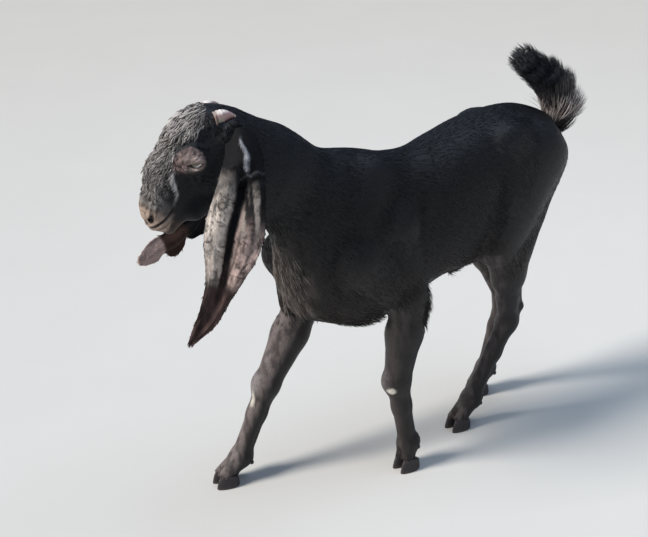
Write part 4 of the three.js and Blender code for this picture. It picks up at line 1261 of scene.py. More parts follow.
def scatter(points, faces, weight, amount, rng):
    """Places spread over faces in proportion to their area times weight."""
    a, b, c = (points[faces[:, k]] for k in range(3))
    area = np.linalg.norm(np.cross(b - a, c - a), axis=1) / 2 * weight
    total = np.cumsum(area)
    face = np.searchsorted(total, rng.random(amount) * total[-1])
    r1, r2 = np.sqrt(rng.random(amount)), rng.random(amount)
    w = np.stack([1 - r1, r1 * (1 - r2), r1 * r2], 1)
    return face, w


def tufts(
    root, normal, way, length, width, lift, tint, uv, rng, steps=3, wave=0.0, waves=1.5, bend=None, tip=1.25,
    keel=0.45, base=0.72, edge=1.0, phase=None, sink=0.7
):
    """Tapered tufts on the given roots. Returns points, faces, colours and flat places."""
    count = len(root)
    side = np.cross(normal, way)
    sections, shades = [], []
    if phase is None:
        phase = rng.random(count) * 2 * np.pi
    for j in range(steps):
        t = j / steps
        reach = length * t
        rise_up = -sink + length * (lift * t - 0.55 * lift * t * t)
        sway = wave * length * np.sin(phase + 2 * np.pi * waves * t) * min(1.0, 0.25 + 1.5 * t)
        centre = root + way * reach[:, None] + normal * rise_up[:, None] + side * sway[:, None]
        if bend is not None:
            centre = centre + bend * (t * t * length)[:, None]
        half = width * 0.5 * math.sin(math.pi * (0.22 + 0.70 * t)) ** 0.8
        left, right = centre - side * half[:, None], centre + side * half[:, None]
        ridge = centre + normal * (half * 2 * keel)[:, None]
        sections.append(np.stack([left, ridge, right], 1))
        # Painted shade along each tuft: darker at its root, paler towards its tip, and darker down its two
        # sides by edge.
        shade = mix(base, tip, t ** 0.8)
        shades.append((tint * shade)[:, None] * vec(edge, 1, edge)[:, None])
    rise_up = -sink + length * 0.45 * lift
    sway = wave * length * np.sin(phase + 2 * np.pi * waves)
    point = root + way * length[:, None] + normal * rise_up[:, None] + side * sway[:, None]
    if bend is not None:
        point = point + bend * length[:, None]
    sections.append(point[:, None])
    shades.append((tint * tip)[:, None])
    points = np.concatenate(sections, 1)
    colours = np.concatenate(shades, 1)
    size = points.shape[1]
    faces = []
    sides = ((0, 1), (1, 2), (2, 0))
    for j in range(steps - 1):
        for a, b in sides:
            p, q = 3 * j + a, 3 * j + b
            faces += [(p, q, q + 3), (p, q + 3, p + 3)]
    for a, b in sides:
        faces.append((3 * steps - 3 + a, 3 * steps - 3 + b, 3 * steps))
    faces = (np.array(faces)[None] + size * np.arange(count)[:, None, None]).reshape(-1, 3)
    spread = np.zeros((size, 2))
    for j in range(steps):
        spread[3 * j:3 * j + 3] = [(x, j / steps) for x in (0, 0.5, 1)]
    spread[-1] = (0.5, 1)
    flat = uv[:, None] + 0.003 * (spread[None] - 0.5)
    return points.reshape(-1, 3), faces, colours.reshape(-1, 3), flat.reshape(-1, 2)


# ---------------------------------------------------------------- putting meshes in the scene

def place_of_body():
    """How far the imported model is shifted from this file's own middle line, in millimetres."""
    low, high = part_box("eye_left")
    return (np.array(low) + np.array(high)) * 500 - head(*EYE_PLACE)


SHIFT = place_of_body()


def to_scene(points):
    return (np.asarray(points, float) + SHIFT) / 1000


def add_object(name, data):
    thing = bpy.data.objects.new(name, data)
    bpy.context.scene.collection.objects.link(thing)
    return thing


def stand(thing, right, up, back, spot):
    """Puts a lamp or camera at a spot, looking away from back."""
    rows = [[right[k], up[k], back[k], spot[k]] for k in range(3)]
    thing.matrix_world = Matrix([*rows, [0, 0, 0, 1]])


def make_piece(name, points, faces, material, tint=None, gloss=None, uv=None, layers=None):
    mesh = bpy.data.meshes.new(name)
    points = to_scene(points)
    mesh.vertices.add(len(points))
    mesh.vertices.foreach_set("co", points.astype(np.float32).ravel())
    mesh.loops.add(3 * len(faces))
    mesh.loops.foreach_set("vertex_index", faces.astype(np.int32).ravel())
    mesh.polygons.add(len(faces))
    mesh.polygons.foreach_set("loop_start", np.arange(0, 3 * len(faces), 3, dtype=np.int32))
    mesh.update(calc_edges=True)
    mesh.shade_smooth()
    if tint is not None:
        layer = mesh.attributes.new("tint", "FLOAT_COLOR", "POINT")
        rgba = np.ones((len(points), 4), np.float32)
        rgba[:, :3] = np.clip(tint, 0, 1)
        layer.data.foreach_set("color", rgba.ravel())
    for key, values in {"gloss": gloss, **(layers or {})}.items():
        if values is not None:
            layer = mesh.attributes.new(key, "FLOAT", "POINT")
            layer.data.foreach_set("value", np.asarray(values, np.float32))
    if uv is not None:
        flat = mesh.uv_layers.new(name="OFBake")
        flat.data.foreach_set("uv", uv[faces.ravel()].astype(np.float32).ravel())
    piece = add_object(name, mesh)
    mesh.materials.append(material)
    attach(piece, "root")
    return piece


# ---------------------------------------------------------------- materials

def new_tree(name):
    material = bpy.data.materials.new(name)
    material.use_nodes = True
    nodes, links = material.node_tree.nodes, material.node_tree.links
    nodes.clear()
    output, shader = nodes.new("ShaderNodeOutputMaterial"), nodes.new("ShaderNodeBsdfPrincipled")
    links.new(shader.outputs[0], output.inputs[0])
    return material, nodes, links, shader


def feed(links, socket, value):
    """Gives a socket a number or another node's output."""
    if isinstance(value, (int, float)):
        socket.default_value = value
    else:
        links.new(value, socket)


def multiply_add(nodes, links, *values, clamp=False):
    """The first value times the second plus the third."""
    node = nodes.new("ShaderNodeMath")
    node.operation = "MULTIPLY_ADD"
    node.use_clamp = clamp
    for socket, value in zip(node.inputs, values):
        feed(links, socket, value)
    return node.outputs[0]


def streak_group():
    """Fine hair or grain: noise drawn out along one way. Puts out a mask."""
    name = "Streaks"
    if name in bpy.data.node_groups:
        return bpy.data.node_groups[name]
    group = bpy.data.node_groups.new(name, "ShaderNodeTree")
    face = group.interface
    face.new_socket("Turn", in_out="INPUT", socket_type="NodeSocketVector")
    face.new_socket("Fineness", in_out="INPUT", socket_type="NodeSocketVector")
    face.new_socket("Contrast", in_out="INPUT", socket_type="NodeSocketFloat").default_value = 1.0
    face.new_socket("Mask", in_out="OUTPUT", socket_type="NodeSocketFloat")
    nodes, links = group.nodes, group.links
    given, result = nodes.new("NodeGroupInput"), nodes.new("NodeGroupOutput")
    where = nodes.new("ShaderNodeTexCoord")
    turned = nodes.new("ShaderNodeVectorRotate")
    turned.rotation_type = "EULER_XYZ"
    scaled = nodes.new("ShaderNodeVectorMath")
    scaled.operation = "MULTIPLY"
    noise = nodes.new("ShaderNodeTexNoise")
    noise.inputs["Scale"].default_value = 1.0
    noise.inputs["Detail"].default_value = 3.0
    noise.inputs["Roughness"].default_value = 0.6
    noise.inputs["Distortion"].default_value = 0.25
    links.new(where.outputs["Object"], turned.inputs["Vector"])
    links.new(given.outputs["Turn"], turned.inputs["Rotation"])
    links.new(turned.outputs[0], scaled.inputs[0])
    links.new(given.outputs["Fineness"], scaled.inputs[1])
    links.new(scaled.outputs[0], noise.inputs["Vector"])
    contrast = given.outputs["Contrast"]
    shift = multiply_add(nodes, links, contrast, -0.5, 0.5)
    spread = multiply_add(nodes, links, noise.outputs["Fac"], contrast, shift, clamp=True)
    links.new(spread, result.inputs["Mask"])
    return group


def streaks(nodes, turn, fineness, contrast):
    node = nodes.new("ShaderNodeGroup")
    node.node_tree = streak_group()
    node.inputs["Turn"].default_value = turn
    node.inputs["Fineness"].default_value = fineness
    node.inputs["Contrast"].default_value = contrast
    return node.outputs["Mask"]


def attribute(nodes, name, output="Fac"):
    node = nodes.new("ShaderNodeAttribute")
    node.attribute_name = name
    return node.outputs[output]


def blended(nodes, links, factor, a, b, kind="FLOAT"):
    node = nodes.new("ShaderNodeMix")
    node.data_type = kind
    first = {"FLOAT": 2, "RGBA": 6}[kind]
    links.new(factor, node.inputs[0])
    feed(links, node.inputs[first], a)
    feed(links, node.inputs[first + 1], b)
    return node.outputs[{"FLOAT": 0, "RGBA": 2}[kind]]


def shaded(nodes, links, colour, mask, low, high):
    """A colour made darker or paler by a mask."""
    span = nodes.new("ShaderNodeMapRange")
    span.inputs["To Min"].default_value = low
    span.inputs["To Max"].default_value = high
    links.new(mask, span.inputs["Value"])
    scale = nodes.new("ShaderNodeVectorMath")
    scale.operation = "SCALE"
    links.new(colour, scale.inputs[0])
    links.new(span.outputs[0], scale.inputs["Scale"])
    return scale.outputs[0]


def bumped(nodes, links, height, distance, strength=1.0, under=None):
    node = nodes.new("ShaderNodeBump")
    node.inputs["Distance"].default_value = distance
    node.inputs["Strength"].default_value = strength
    links.new(height, node.inputs["Height"])
    if under is not None:
        links.new(under, node.inputs["Normal"])
    return node.outputs[0]


def skin_material():
    material, nodes, links, shader = new_tree("Short black coat")
    body = streaks(nodes, (math.radians(30), 0, 0), (900, 120, 700), 2.2)
    leg = streaks(nodes, (0, 0, 0), (900, 900, 130), 2.2)
    face = streaks(nodes, (-HEAD_PITCH, 0, 0), (800, 150, 800), 2.2)
    hair = blended(nodes, links, attribute(nodes, "leg"), body, leg)
    hair = blended(nodes, links, attribute(nodes, "face"), hair, face)
    lumps = streaks(nodes, (0, 0, 0), (160, 90, 160), 1.8)
    colour = shaded(nodes, links, attribute(nodes, "tint", "Color"), hair, 0.55, 1.5)
    links.new(colour, shader.inputs["Base Color"])
    gloss = attribute(nodes, "gloss")
    links.new(multiply_add(nodes, links, hair, 0.22, gloss), shader.inputs["Roughness"])
    normal = bumped(nodes, links, lumps, 0.0012, 0.35)
    links.new(bumped(nodes, links, hair, 0.0006, 0.7, normal), shader.inputs["Normal"])
    shine = multiply_add(nodes, links, gloss, -1.0, 0.68, clamp=True)
    links.new(shine, shader.inputs["Specular IOR Level"])
    return material


def coat_material(name, rough, shine=0.26):
    material, nodes, links, shader = new_tree(name)
    fine = streaks(nodes, (0, 0, 0), (1500, 1500, 1500), 1.6)
    links.new(
        shaded(nodes, links, attribute(nodes, "tint", "Color"), fine, 0.7, 1.3), shader.inputs["Base Color"]
    )
    links.new(blended(nodes, links, fine, rough - 0.08, rough + 0.1), shader.inputs["Roughness"])
    shader.inputs["Specular IOR Level"].default_value = shine
    return material


def eye_material():
    material, nodes, links, shader = new_tree("Wet eye")
    fibres = streaks(nodes, (0, 0, 0), (1400, 1400, 1400), 1.5)
    links.new(
        shaded(nodes, links, attribute(nodes, "tint", "Color"), fibres, 0.8, 1.2), shader.inputs["Base Color"]
    )
    links.new(blended(nodes, links, fibres, 0.04, 0.1), shader.inputs["Roughness"])
    shader.inputs["Coat Weight"].default_value = 1.0
    shader.inputs["Coat Roughness"].default_value = 0.03
    return material


def horn_material(name, rough, low, high, fineness, relief):
    material, nodes, links, shader = new_tree(name)
    grain = streaks(nodes, (0, 0, 0), fineness, 2.0)
    links.new(
        shaded(nodes, links, attribute(nodes, "tint", "Color"), grain, low, high), shader.inputs["Base Color"]
    )
    links.new(blended(nodes, links, grain, rough - 0.08, rough + 0.14), shader.inputs["Roughness"])
    links.new(bumped(nodes, links, grain, relief, 0.6), shader.inputs["Normal"])
    return material


def floor_material():
    material, nodes, links, shader = new_tree("Pale studio floor")
    grain = streaks(nodes, (0, 0, 0), (3, 3, 3), 1.0)
    colour = nodes.new("ShaderNodeRGB")
    colour.outputs[0].default_value = (*bpy.context.scene.goat_stage.floor_tint, 1)
    links.new(shaded(nodes, links, colour.outputs[0], grain, 0.97, 1.03), shader.inputs["Base Color"])
    shader.inputs["Roughness"].default_value = 0.75
    return material


# ---------------------------------------------------------------- pieces

BUILT = {}  # what one operator leaves for the next: the skin's points, faces and lie of hair
FLESH = (
    "head", "neck", "trunk", "tail", "leg_fore_left", "leg_fore_right", "leg_hind_left", "leg_hind_right",
    "ear_left", "ear_right"
)


def foot_space(leg, points):
    """Points in a foot's own frame: sideways, forwards, and height over the coronet."""
    c, s = math.cos(math.radians(leg["turn"])), math.sin(math.radians(leg["turn"]))
    dx, dy = points[:, 0] - leg["foot"][0], points[:, 1] - leg["foot"][1]
    side, forward = c * dx + s * dy, s * dx - c * dy
    over = (points[:, 2] - CORONET_HEIGHT - (forward + 4) * math.tan(CORONET_SLOPE)) * math.cos(CORONET_SLOPE)
    return side, forward, over


def foot_point(leg, side, forward, up):
    c, s = math.cos(math.radians(leg["turn"])), math.sin(math.radians(leg["turn"]))
    foot = leg["foot"]
    return np.stack([foot[0] + c * side + s * forward, foot[1] - c * forward + s * side, up + 0 * side], -1)


def shod_distance(points):
    """The skin's distance, ended just inside the tops of the claws."""
    d = skin_distance(points)
    for leg in LEGS.values():
        side, forward, over = foot_space(leg, points)
        near = (points[:, 2] < 60) & (np.hypot(side, forward) < 60)
        cleft = 7.0 * bell(side, 5.0) * rise(forward, -8, 8) * (1 - rise(over, 4, 26))
        d = np.where(near, np.maximum(d + cleft, -(over + 3.0)), d)
    return d


def build_skin():
    points, faces = net(*SKIN_BOX, SKIN_CELL)
    edges = edges_of(faces)
    for _ in range(3):
        points = relax(points, edges, 0.5)
        points = settle(points, shod_distance, 2, 3.0)
    middle = points[faces].mean(1)
    h = head_space(middle)
    on_head = (middle[:, 1] < -300) & (h[:, 1] > 0)
    low = middle[:, 2] < 90
    points, faces = refine(points, faces, on_head | low)
    points = settle(points, shod_distance, 2, 2.0)
    middle = points[faces].mean(1)
    h = head_space(middle)
    snout = (middle[:, 1] < -330) & (h[:, 1] > 176)
    points, faces = refine(points, faces, snout | near_eyes(middle, 40, -6))
    fine = np.zeros(len(points), bool)
    middle = points[faces].mean(1)
    h = head_space(middle)
    near = (middle[:, 1] < -330) & (h[:, 1] > 100)
    fine[faces[near].ravel()] = True
    edges = edges_of(faces)
    for _ in range(3):
        points = relax(points, edges, 0.35, fine)
        points = settle(points, shod_distance, 2, 1.2, fine)
    # The lids get one more split, so that their rims are clean.
    points, faces = refine(points, faces, near_eyes(points[faces].mean(1), 21, 1))
    fine = near_eyes(points, 22)
    edges = edges_of(faces)
    for _ in range(3):
        points = relax(points, edges, 0.3, fine)
        points = settle(points, shod_distance, 2, 0.8, fine)
    return points, faces, edges


def make_skin():
    points, faces, edges = build_skin()
    _, part, way = measure(points, True)
    normal = normals_of(points, faces)
    tint, gloss = body_tint(points, part)
    leg = on(part, *LEGS) * (1 - rise(points[:, 2], 330, 440))
    face = (part == PARTS.index("head")) * 1.0
    for _ in range(6):
        for layer in (leg, face):
            layer[:] = relax(layer[:, None] * np.ones(3), edges, 0.6)[:, 0]
    BUILT.update(points=points, faces=faces, normal=normal, part=part, way=way, tint=tint)
    made = [(points, faces, tint, gloss, leg, face)]
    for name, rows in EARS.items():
        ear, ear_faces, t, s, inner = ear_mesh(rows)
        ear_colour, ear_gloss = ear_tint(np.sign(rows[0, 1]), t, s, inner, ear)
        BUILT[name] = dict(points=ear, faces=ear_faces, t=t, s=s, inner=inner, tint=ear_colour, rows=rows)
        made.append((ear, ear_faces, ear_colour, ear_gloss, np.full(len(ear), 0.8), np.zeros(len(ear))))
    points, faces, tint, gloss, leg, face = joined(made)
    piece = make_piece("skin", points, faces, skin_material(), tint, gloss, layers={"leg": leg, "face": face})
    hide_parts(*FLESH)


def make_eye(name, side):
    centre, out, front, top = eye_frame(side)
    rings, around = 72, 96
    a = np.linspace(0, np.pi, rings + 1)[1:-1, None]
    b = np.linspace(0, 2 * np.pi, around, endpoint=False)[None]
    x, y = np.sin(a) * np.cos(b), np.sin(a) * np.sin(b)
    radius = EYE_RADIUS - 0.25 + 0.25 * bell(a, 0.55, 4) + 0 * b
    grid = (
        (out * (np.cos(a) + 0 * b)[..., None] + front * x[..., None] + top * y[..., None]) * radius[..., None]
    )
    points = np.concatenate([grid.reshape(-1, 3), [out * radius[0, 0], -out * radius[-1, 0]]]) + centre
    number = np.arange(grid.shape[0] * around).reshape(-1, around)
    p, q = number[:-1], np.roll(number, -1, 1)[:-1]
    r, s = np.roll(number, -1, 1)[1:], number[1:]
    faces = [np.stack([p, s, r], -1).reshape(-1, 3), np.stack([p, r, q], -1).reshape(-1, 3)]
    pole, far = len(points) - 2, len(points) - 1
    faces.append(np.stack([np.full(around, pole), number[0], np.roll(number[0], -1)], 1))
    faces.append(np.stack([np.full(around, far), np.roll(number[-1], -1), number[-1]], 1))
    faces = np.concatenate(faces)
    if side < 0:
        faces = faces[:, ::-1]
    local = (points - centre) / EYE_RADIUS
    gaze = unit(out + 0.10 * front + 0.66 * top)
    across, up = local @ unit(front - gaze * (front @ gaze)), local @ unit(top - gaze * (top @ gaze))
    turn = np.arccos(np.clip(unit(local) @ gaze, -1, 1))
    spokes = ripple(np.stack([np.arctan2(up, across) * 9, turn * 3, 0 * turn], -1), 1.0, 61)
    pale = np.clip(spokes * 0.7 + turn * 0.6, 0, 1)[:, None]
    iris = mix(vec(0.060, 0.040, 0.024), vec(0.17, 0.125, 0.075), pale)
    tint = np.tile(vec(0.93, 0.84, 0.80), (len(points), 1))
    tint = mix(tint, iris, (1 - rise(turn, 0.70, 0.74))[:, None])
    tint = lay(tint, vec(0.05, 0.03, 0.02), bump_at(turn, 0.73, 0.045) * 0.9)
    slot = np.maximum(np.abs(across) / 0.40, np.abs(up) / 0.135 + 0.25 * (across / 0.4) ** 2)
    tint = lay(tint, vec(0.003, 0.003, 0.004), 1 - rise(slot, 0.92, 1.06))
    piece = make_piece(
        f"eyeball_{name}", points, faces, bpy.data.materials.get("Wet eye") or eye_material(), tint=tint
    )
    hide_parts(f"eye_{name}")


def lofted(rings):
    """A closed mesh through rings (count, around, 3) of points."""
    count, around = rings.shape[:2]
    number = np.arange(count * around).reshape(count, around)
    points = np.concatenate([rings.reshape(-1, 3), [rings[0].mean(0), rings[-1].mean(0)]])
    faces = sleeve(number)
    first, last = count * around, count * around + 1
    faces.append(np.stack([np.full(around, first), np.roll(number[0], -1), number[0]], 1))
    faces.append(np.stack([np.full(around, last), number[-1], np.roll(number[-1], -1)], 1))
    faces = np.concatenate(faces)
    return points, facing_out(points, faces)


def make_horn(name, side, length):
    root, forward, out, up = horn_frame(side)
    t = np.linspace(0, 1, 44)[:, None]
    a = np.linspace(0, 2 * np.pi, 56, endpoint=False)[None]
    rings = (
        1 + 0.035 * np.sin(38 * t + 0.6 * np.sin(a)) * (1 - t) + 0.03
        * (
            ripple(
                np.stack([3 * np.cos(a) + 0 * t, 3 * np.sin(a) + 0 * t, 9 * t + 0 * a], -1), 1.0, 71 + side
            )
            - 0.5
        )
    )
    thick = 16.2 * np.maximum(1 - 0.97 * t ** 1.25, 0) ** 0.72 * rings
    reach = length * (t - 0.12)
    centre = root + forward * reach[..., None] + up * (5 * np.sin(np.pi * t))[..., None]
    flat = 1 - 0.16 * np.maximum(np.sin(a), 0) ** 3
    grid = centre + out * (0.76 * thick * np.cos(a))[..., None] + up * (thick * np.sin(a) * flat)[..., None]
    points, faces = lofted(grid)
    rel = points - root
    high = (rel @ up) / 14
    along = (rel @ forward) / length
    grain = ripple(points, (3, 3, 5), 72)
    tint = np.tile(vec(0.44, 0.28, 0.265), (len(points), 1))
    tint = lay(tint, vec(0.40, 0.36, 0.29), (1 - rise(along, 0.05, 0.5)) * (1 - rise(high, 0.0, 0.7)))
    # Painted highlight: the top of the horn bud laid cream.
    tint = lay(tint, vec(0.74, 0.66, 0.62), rise(high, 0.62, 1.0))
    # Painted shade: the underside towards the tip laid dark red-brown.
    tint = lay(tint, vec(0.22, 0.085, 0.075), rise(along, 0.3, 0.6) * (1 - rise(high, -0.2, 0.45)) * 0.75)
    tint = lay(tint, vec(0.70, 0.62, 0.58), rise(along, 0.78, 0.86))
    tint = lay(tint, vec(0.12, 0.07, 0.055), (1 - rise(along, -0.02, 0.12)) * 0.7)
    tint = tint * (0.82 + 0.36 * grain[:, None])
    material = (
        bpy.data.materials.get("Young horn")
        or horn_material("Young horn", 0.42, 0.85, 1.12, (500, 500, 500), 0.0004)
    )
    piece = make_piece(f"horn_bud_{name}", points, faces, material, tint=tint)
    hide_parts(f"horn_{name}")


def make_claws(name):
    leg = LEGS[name]
    made = []
    for side in (-1, 1):
        t = np.linspace(0, 1, 34)[:, None]
        a = np.linspace(0, 2 * np.pi, 64, endpoint=False)[None]
        size = np.interp(t, (0, 0.5, 1), (0.98, 0.93, 0.80))
        size = size * (1 - 0.05 * bell(t, 0.05)) * (1 + 0.007 * np.sin(46 * t))
        back = np.interp(t, (0, 0.6, 1), (0, -2.5, -4.5))
        taper = 1 - 0.24 * np.cos(a)
        forward = size * CLAW_LENGTH * np.cos(a) / 2 + back * (1 + 0.6 * np.cos(a))
        across = size * CLAW_WIDTH / 2 * np.sin(a) * taper
        # The side next to the cleft is flatter, and a little hollow low down.
        across = np.where(across * side < 0, across * (0.93 - 0.06 * (1 - t)), across)
        top = CORONET_HEIGHT + (forward + 4) * math.tan(CORONET_SLOPE) - 0.15
        grid = foot_point(leg, side * (CLAW_WIDTH / 2 + 1) + across, forward, t * top)
        points, faces = lofted(grid)
        grain = ripple(points, (4, 4, 2.2), 81)
        tint = np.tile(vec(0.019, 0.015, 0.017), (len(points), 1))
        high = points[:, 2] / 30
        # Painted highlight: the claws laid paler towards their tops.
        tint = lay(tint, vec(0.040, 0.029, 0.033), rise(high, 0.45, 1.0) * 0.8)
        tint = lay(tint, vec(0.055, 0.045, 0.038), (1 - rise(high, 0.02, 0.25)) * 0.6)
        tint = tint * (0.7 + 0.6 * grain[:, None])
        made.append((points, faces, tint))
    material = (
        bpy.data.materials.get("Claw horn")
        or horn_material("Claw horn", 0.5, 0.75, 1.25, (260, 260, 1100), 0.0005)
    )
    points, faces, tint = joined(made)
    piece = make_piece(f"claws_{name}", points, faces, material, tint)
    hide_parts(f"claw_{name}_outer", f"claw_{name}_inner")


def make_dewclaws(name):
    leg = LEGS[name]
    made = []
    c, s = math.cos(math.radians(leg["turn"])), math.sin(math.radians(leg["turn"]))
    lean = math.radians(25)
    for side in (-1, 1):
        a = np.linspace(0.06, np.pi - 0.02, 26)[:, None]
        b = np.linspace(0, 2 * np.pi, 30, endpoint=False)[None]
        z = -np.cos(a) * 7.2 + 0 * b
        taper = 0.82 + 0.18 * np.cos(a - 0.9)
        ridge = 1 + 0.02 * np.sin(22 * a)
        x, y = 5.6 * np.sin(a) * np.cos(b) * taper * ridge, 5.0 * np.sin(a) * np.sin(b) * taper * ridge
        y, z = y * math.cos(lean) - z * math.sin(lean), y * math.sin(lean) + z * math.cos(lean)
        x, y, z = x + side * 9, y + 17, z - 12
        grid = np.stack([c * x - s * y, s * x + c * y, z], -1) + vec(*leg["fetlock"])
        made.append(lofted(grid))
    points, faces = joined(made)
    tint = vec(0.024, 0.018, 0.019) * (0.6 + 0.8 * ripple(points, 2.5, 82)[:, None])
    material = bpy.data.materials.get("Claw horn")
    piece = make_piece(f"dewclaws_{name}", points, faces, material, tint)
    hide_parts(f"dewclaw_{name}_outer", f"dewclaw_{name}_inner")


# Each coat's number of places on the skin, and the seed of its random draws.
COATS = {
    "coat_face_locks": (9000, 101), "coat_face_short": (15000, 102),
    "coat_body_left": (13000, 103), "coat_body_right": (13000, 104), "coat_upper_legs": (9500, 110),
    "coat_legs_fore": (12500, 105), "coat_legs_hind": (12500, 106),
    "coat_tail": (9000, 107), "coat_fringe": (6000, 108), "coat_ears": (10, 109),
}
FINE_LOCKS = 2500  # the most thin hairs between the locks of the face
EAR_TUFTS = 6500  # tufts on each ear


class Roots:
    """Places on the skin where tufts grow, with everything a tuft needs to know."""

    def __init__(self, name, settings, weight):
        b = BUILT
        amount, seed = COATS[name]
        amount = int(amount * settings.density)
        self.name = name
        self.rng = np.random.default_rng(seed)
        faces = b["faces"]
        middle = b["points"][faces].mean(1)
        face, w = scatter(b["points"], faces, weight(middle, b["part"][faces[:, 0]]), amount, self.rng)
        pick = lambda values: (values[faces[face]] * w[..., None]).sum(1)
        self.points, self.normal = pick(b["points"]), unit(pick(b["normal"]))
        self.way = flow_of(unit(pick(b["way"])), self.normal)
        self.tint, self.part = pick(b["tint"]), b["part"][faces[face, 0]]
        self.uv = unwrap(self.points, self.part)
        self.count = amount

    def sway(self, amount):
        """Turns each hair's way a little, in clumps and at random."""
        side = np.cross(self.normal, self.way)
        clump = ripple(self.points, 16, 91) + ripple(self.points, 6, 92) - 1
        angle = amount * (clump + 0.5 * self.rng.normal(size=self.count))
        self.way = unit(self.way * np.cos(angle)[:, None] + side * np.sin(angle)[:, None])

    def take(self, chosen):
        for name in ("points", "normal", "way", "tint", "part", "uv"):
            setattr(self, name, getattr(self, name)[chosen])
        self.count = len(chosen)

    def between(self, low, high):
        return low + (high - low) * self.rng.random(self.count)

    def vary(self, spread):
        return self.tint * (1 + spread * self.rng.normal(size=(self.count, 1))).clip(0.35, 2.2)


def make_coat(roots, material, length, width, lift, tint, **more):
    points, faces, colours, flat = tufts(
        roots.points, roots.normal, roots.way, length, width, lift, tint, roots.uv, roots.rng, **more
    )
    piece = make_piece(roots.name, points, faces, material, tint=colours, uv=flat)


def draped(roots, length):
    """The bend that keeps tufts lying along the skin as the body curves away under their tips."""
    under = np.clip(skin_distance(roots.points + roots.way * length[:, None]), -4, 4)
    return roots.normal * ((0.3 - under) / length)[:, None]


def spread_out(roots, across, along):
    """The roots that are left when any that is too near an earlier one is dropped."""
    side = np.cross(roots.normal, roots.way)
    free = np.ones(roots.count, bool)
    keep = []
    for i in range(roots.count):
        if free[i]:
            keep.append(i)
            q = roots.points - roots.points[i]
            free &= np.hypot(q @ side[i] / across, q @ roots.way[i] / along) > 1
    return np.array(keep)


def coat_face_locks(settings):
    """Rough wavy locks over the forehead and down the nose."""
    def weight(middle, part):
        h = head_space(middle)
        horn = np.hypot(np.abs(middle[:, 0]) - 40, h[:, 1] - 36) > 15
        return on(part, "head", "neck") * locks_here(h) * ~near_eyes(middle, 20) * horn

    roots = Roots("coat_face_locks", settings, weight)
    keep = spread_out(roots, 3.5, 6.5)
    fine = np.setdiff1d(np.arange(roots.count), keep)[:int(FINE_LOCKS * settings.density)]
    ropes = np.concatenate([keep, fine])
    roots.take(ropes)
    rope = np.arange(roots.count) < len(keep)
    h = head_space(roots.points)
    nose = rise(h[:, 1], 105, 165)
    fan = np.clip(h[:, 0] / 42, -1, 1) * mix(0.12, 0.5, nose)
    roots.way = flow_of(np.stack([fan, 0 * fan, 0 * fan], 1) + head_way(0, 1, 0), roots.normal)
    side = np.cross(roots.normal, roots.way)
    bend = (
        1.1 * (ripple(h, 20, 64) - 0.5) + 0.7 * (ripple(h, 8, 65) - 0.5)
        + 0.12 * roots.rng.normal(size=roots.count)
    )
    roots.way = unit(roots.way + side * bend[:, None])
    short = mix(0.5, 1, rise(h[:, 1], 2, 26)) * mix(0.45, 1, rise(lock_edge(h), 0, 14))
    length = (
        mix(roots.between(16, 27), roots.between(9, 14), nose) * np.where(rope, 1, 0.5) * short
        * settings.length
    )
    width = (
        mix(roots.between(3.6, 5.6), roots.between(2.5, 3.6), nose) * np.where(rope, 1, 0.3)
        * mix(0.7, 1, short)
    )
    shade = (
        np.where(rope, roots.between(0.7, 2.8), roots.between(0.1, 3.0))[:, None]
        * (0.65 + 0.7 * ripple(h, 9, 67)[:, None])
    )
    roots.points = roots.points + roots.normal * np.where(rope, 0.2, 1.6)[:, None]
    lift = np.where(rope, roots.between(0.02, 0.07), roots.between(0.03, 0.13))
    phase = h[:, 1] / 3.6 + 5 * ripple(h, 14, 66)
    # The sides of each lock are laid far darker than its ridge: painted shade in the grooves between the
    # locks.
    make_coat(
        roots, coat_material("Face locks", 0.46), length, width, lift, TINTS["lock"] * shade, steps=7,
        wave=0.055, waves=1.3, tip=1.1, keel=0.5, base=0.85, edge=0.28, phase=phase
    )


def coat_face_short(settings):
    """Short smooth hair of the cheeks, jaw, throat and muzzle."""
    def weight(middle, part):
        h = head_space(middle)
        bare = near_eyes(middle, 30) & (h[:, 1] < 124) & (h[:, 2] > 4)
        lips = (h[:, 1] > 212)
        snout = 1 - 0.93 * rise(h[:, 1], 190, 204) * rise(h[:, 2], -8, 2)
        return on(part, "head") * ~bare * np.where(lips, 0.3, 1.0) * (1 - 0.75 * locks_here(h)) * snout

    roots = Roots("coat_face_short", settings, weight)
    roots.sway(0.35)
    h = head_space(roots.points)
    fine = rise(h[:, 1], 150, 205)
    length = mix(roots.between(6.5, 10), roots.between(2.5, 4.2), fine) * settings.length
    width = mix(roots.between(1.0, 1.7), roots.between(0.5, 0.8), fine)
    make_coat(
        roots, coat_material("Short face hair", 0.4), length, width, 0.03, roots.vary(0.22), steps=2, tip=1.1,
        base=0.88, keel=0.22, sink=0.35
    )


LEG_TOP = (340, 420)  # the heights between which the legs' hair gives way to the body's
SMOOTH = dict(steps=3, tip=1.06, base=0.92, keel=0.2, sink=0.25)


def coat_body(settings, name, side):
    """Smooth short hair over one side of the barrel and neck, longer along the back and belly."""
    def weight(middle, part):
        half = middle[:, 0] * side > 0
        return on(part, "trunk", "neck") * half

    roots = Roots(name, settings, weight)
    roots.sway(0.22)
    crest = rise(roots.normal[:, 2], 0.75, 0.98)
    low = rise(-roots.normal[:, 2], 0.3, 0.9)
    length = (roots.between(12, 18) + 5 * crest + 9 * low) * settings.length
    lift = 0.02 + 0.02 * crest + 0.14 * low
    make_coat(
        roots, coat_material("Body hair " + name.split("_")[-1], 0.4), length, roots.between(1.4, 2.4), lift,
        roots.vary(0.16), bend=draped(roots, length), **SMOOTH
    )


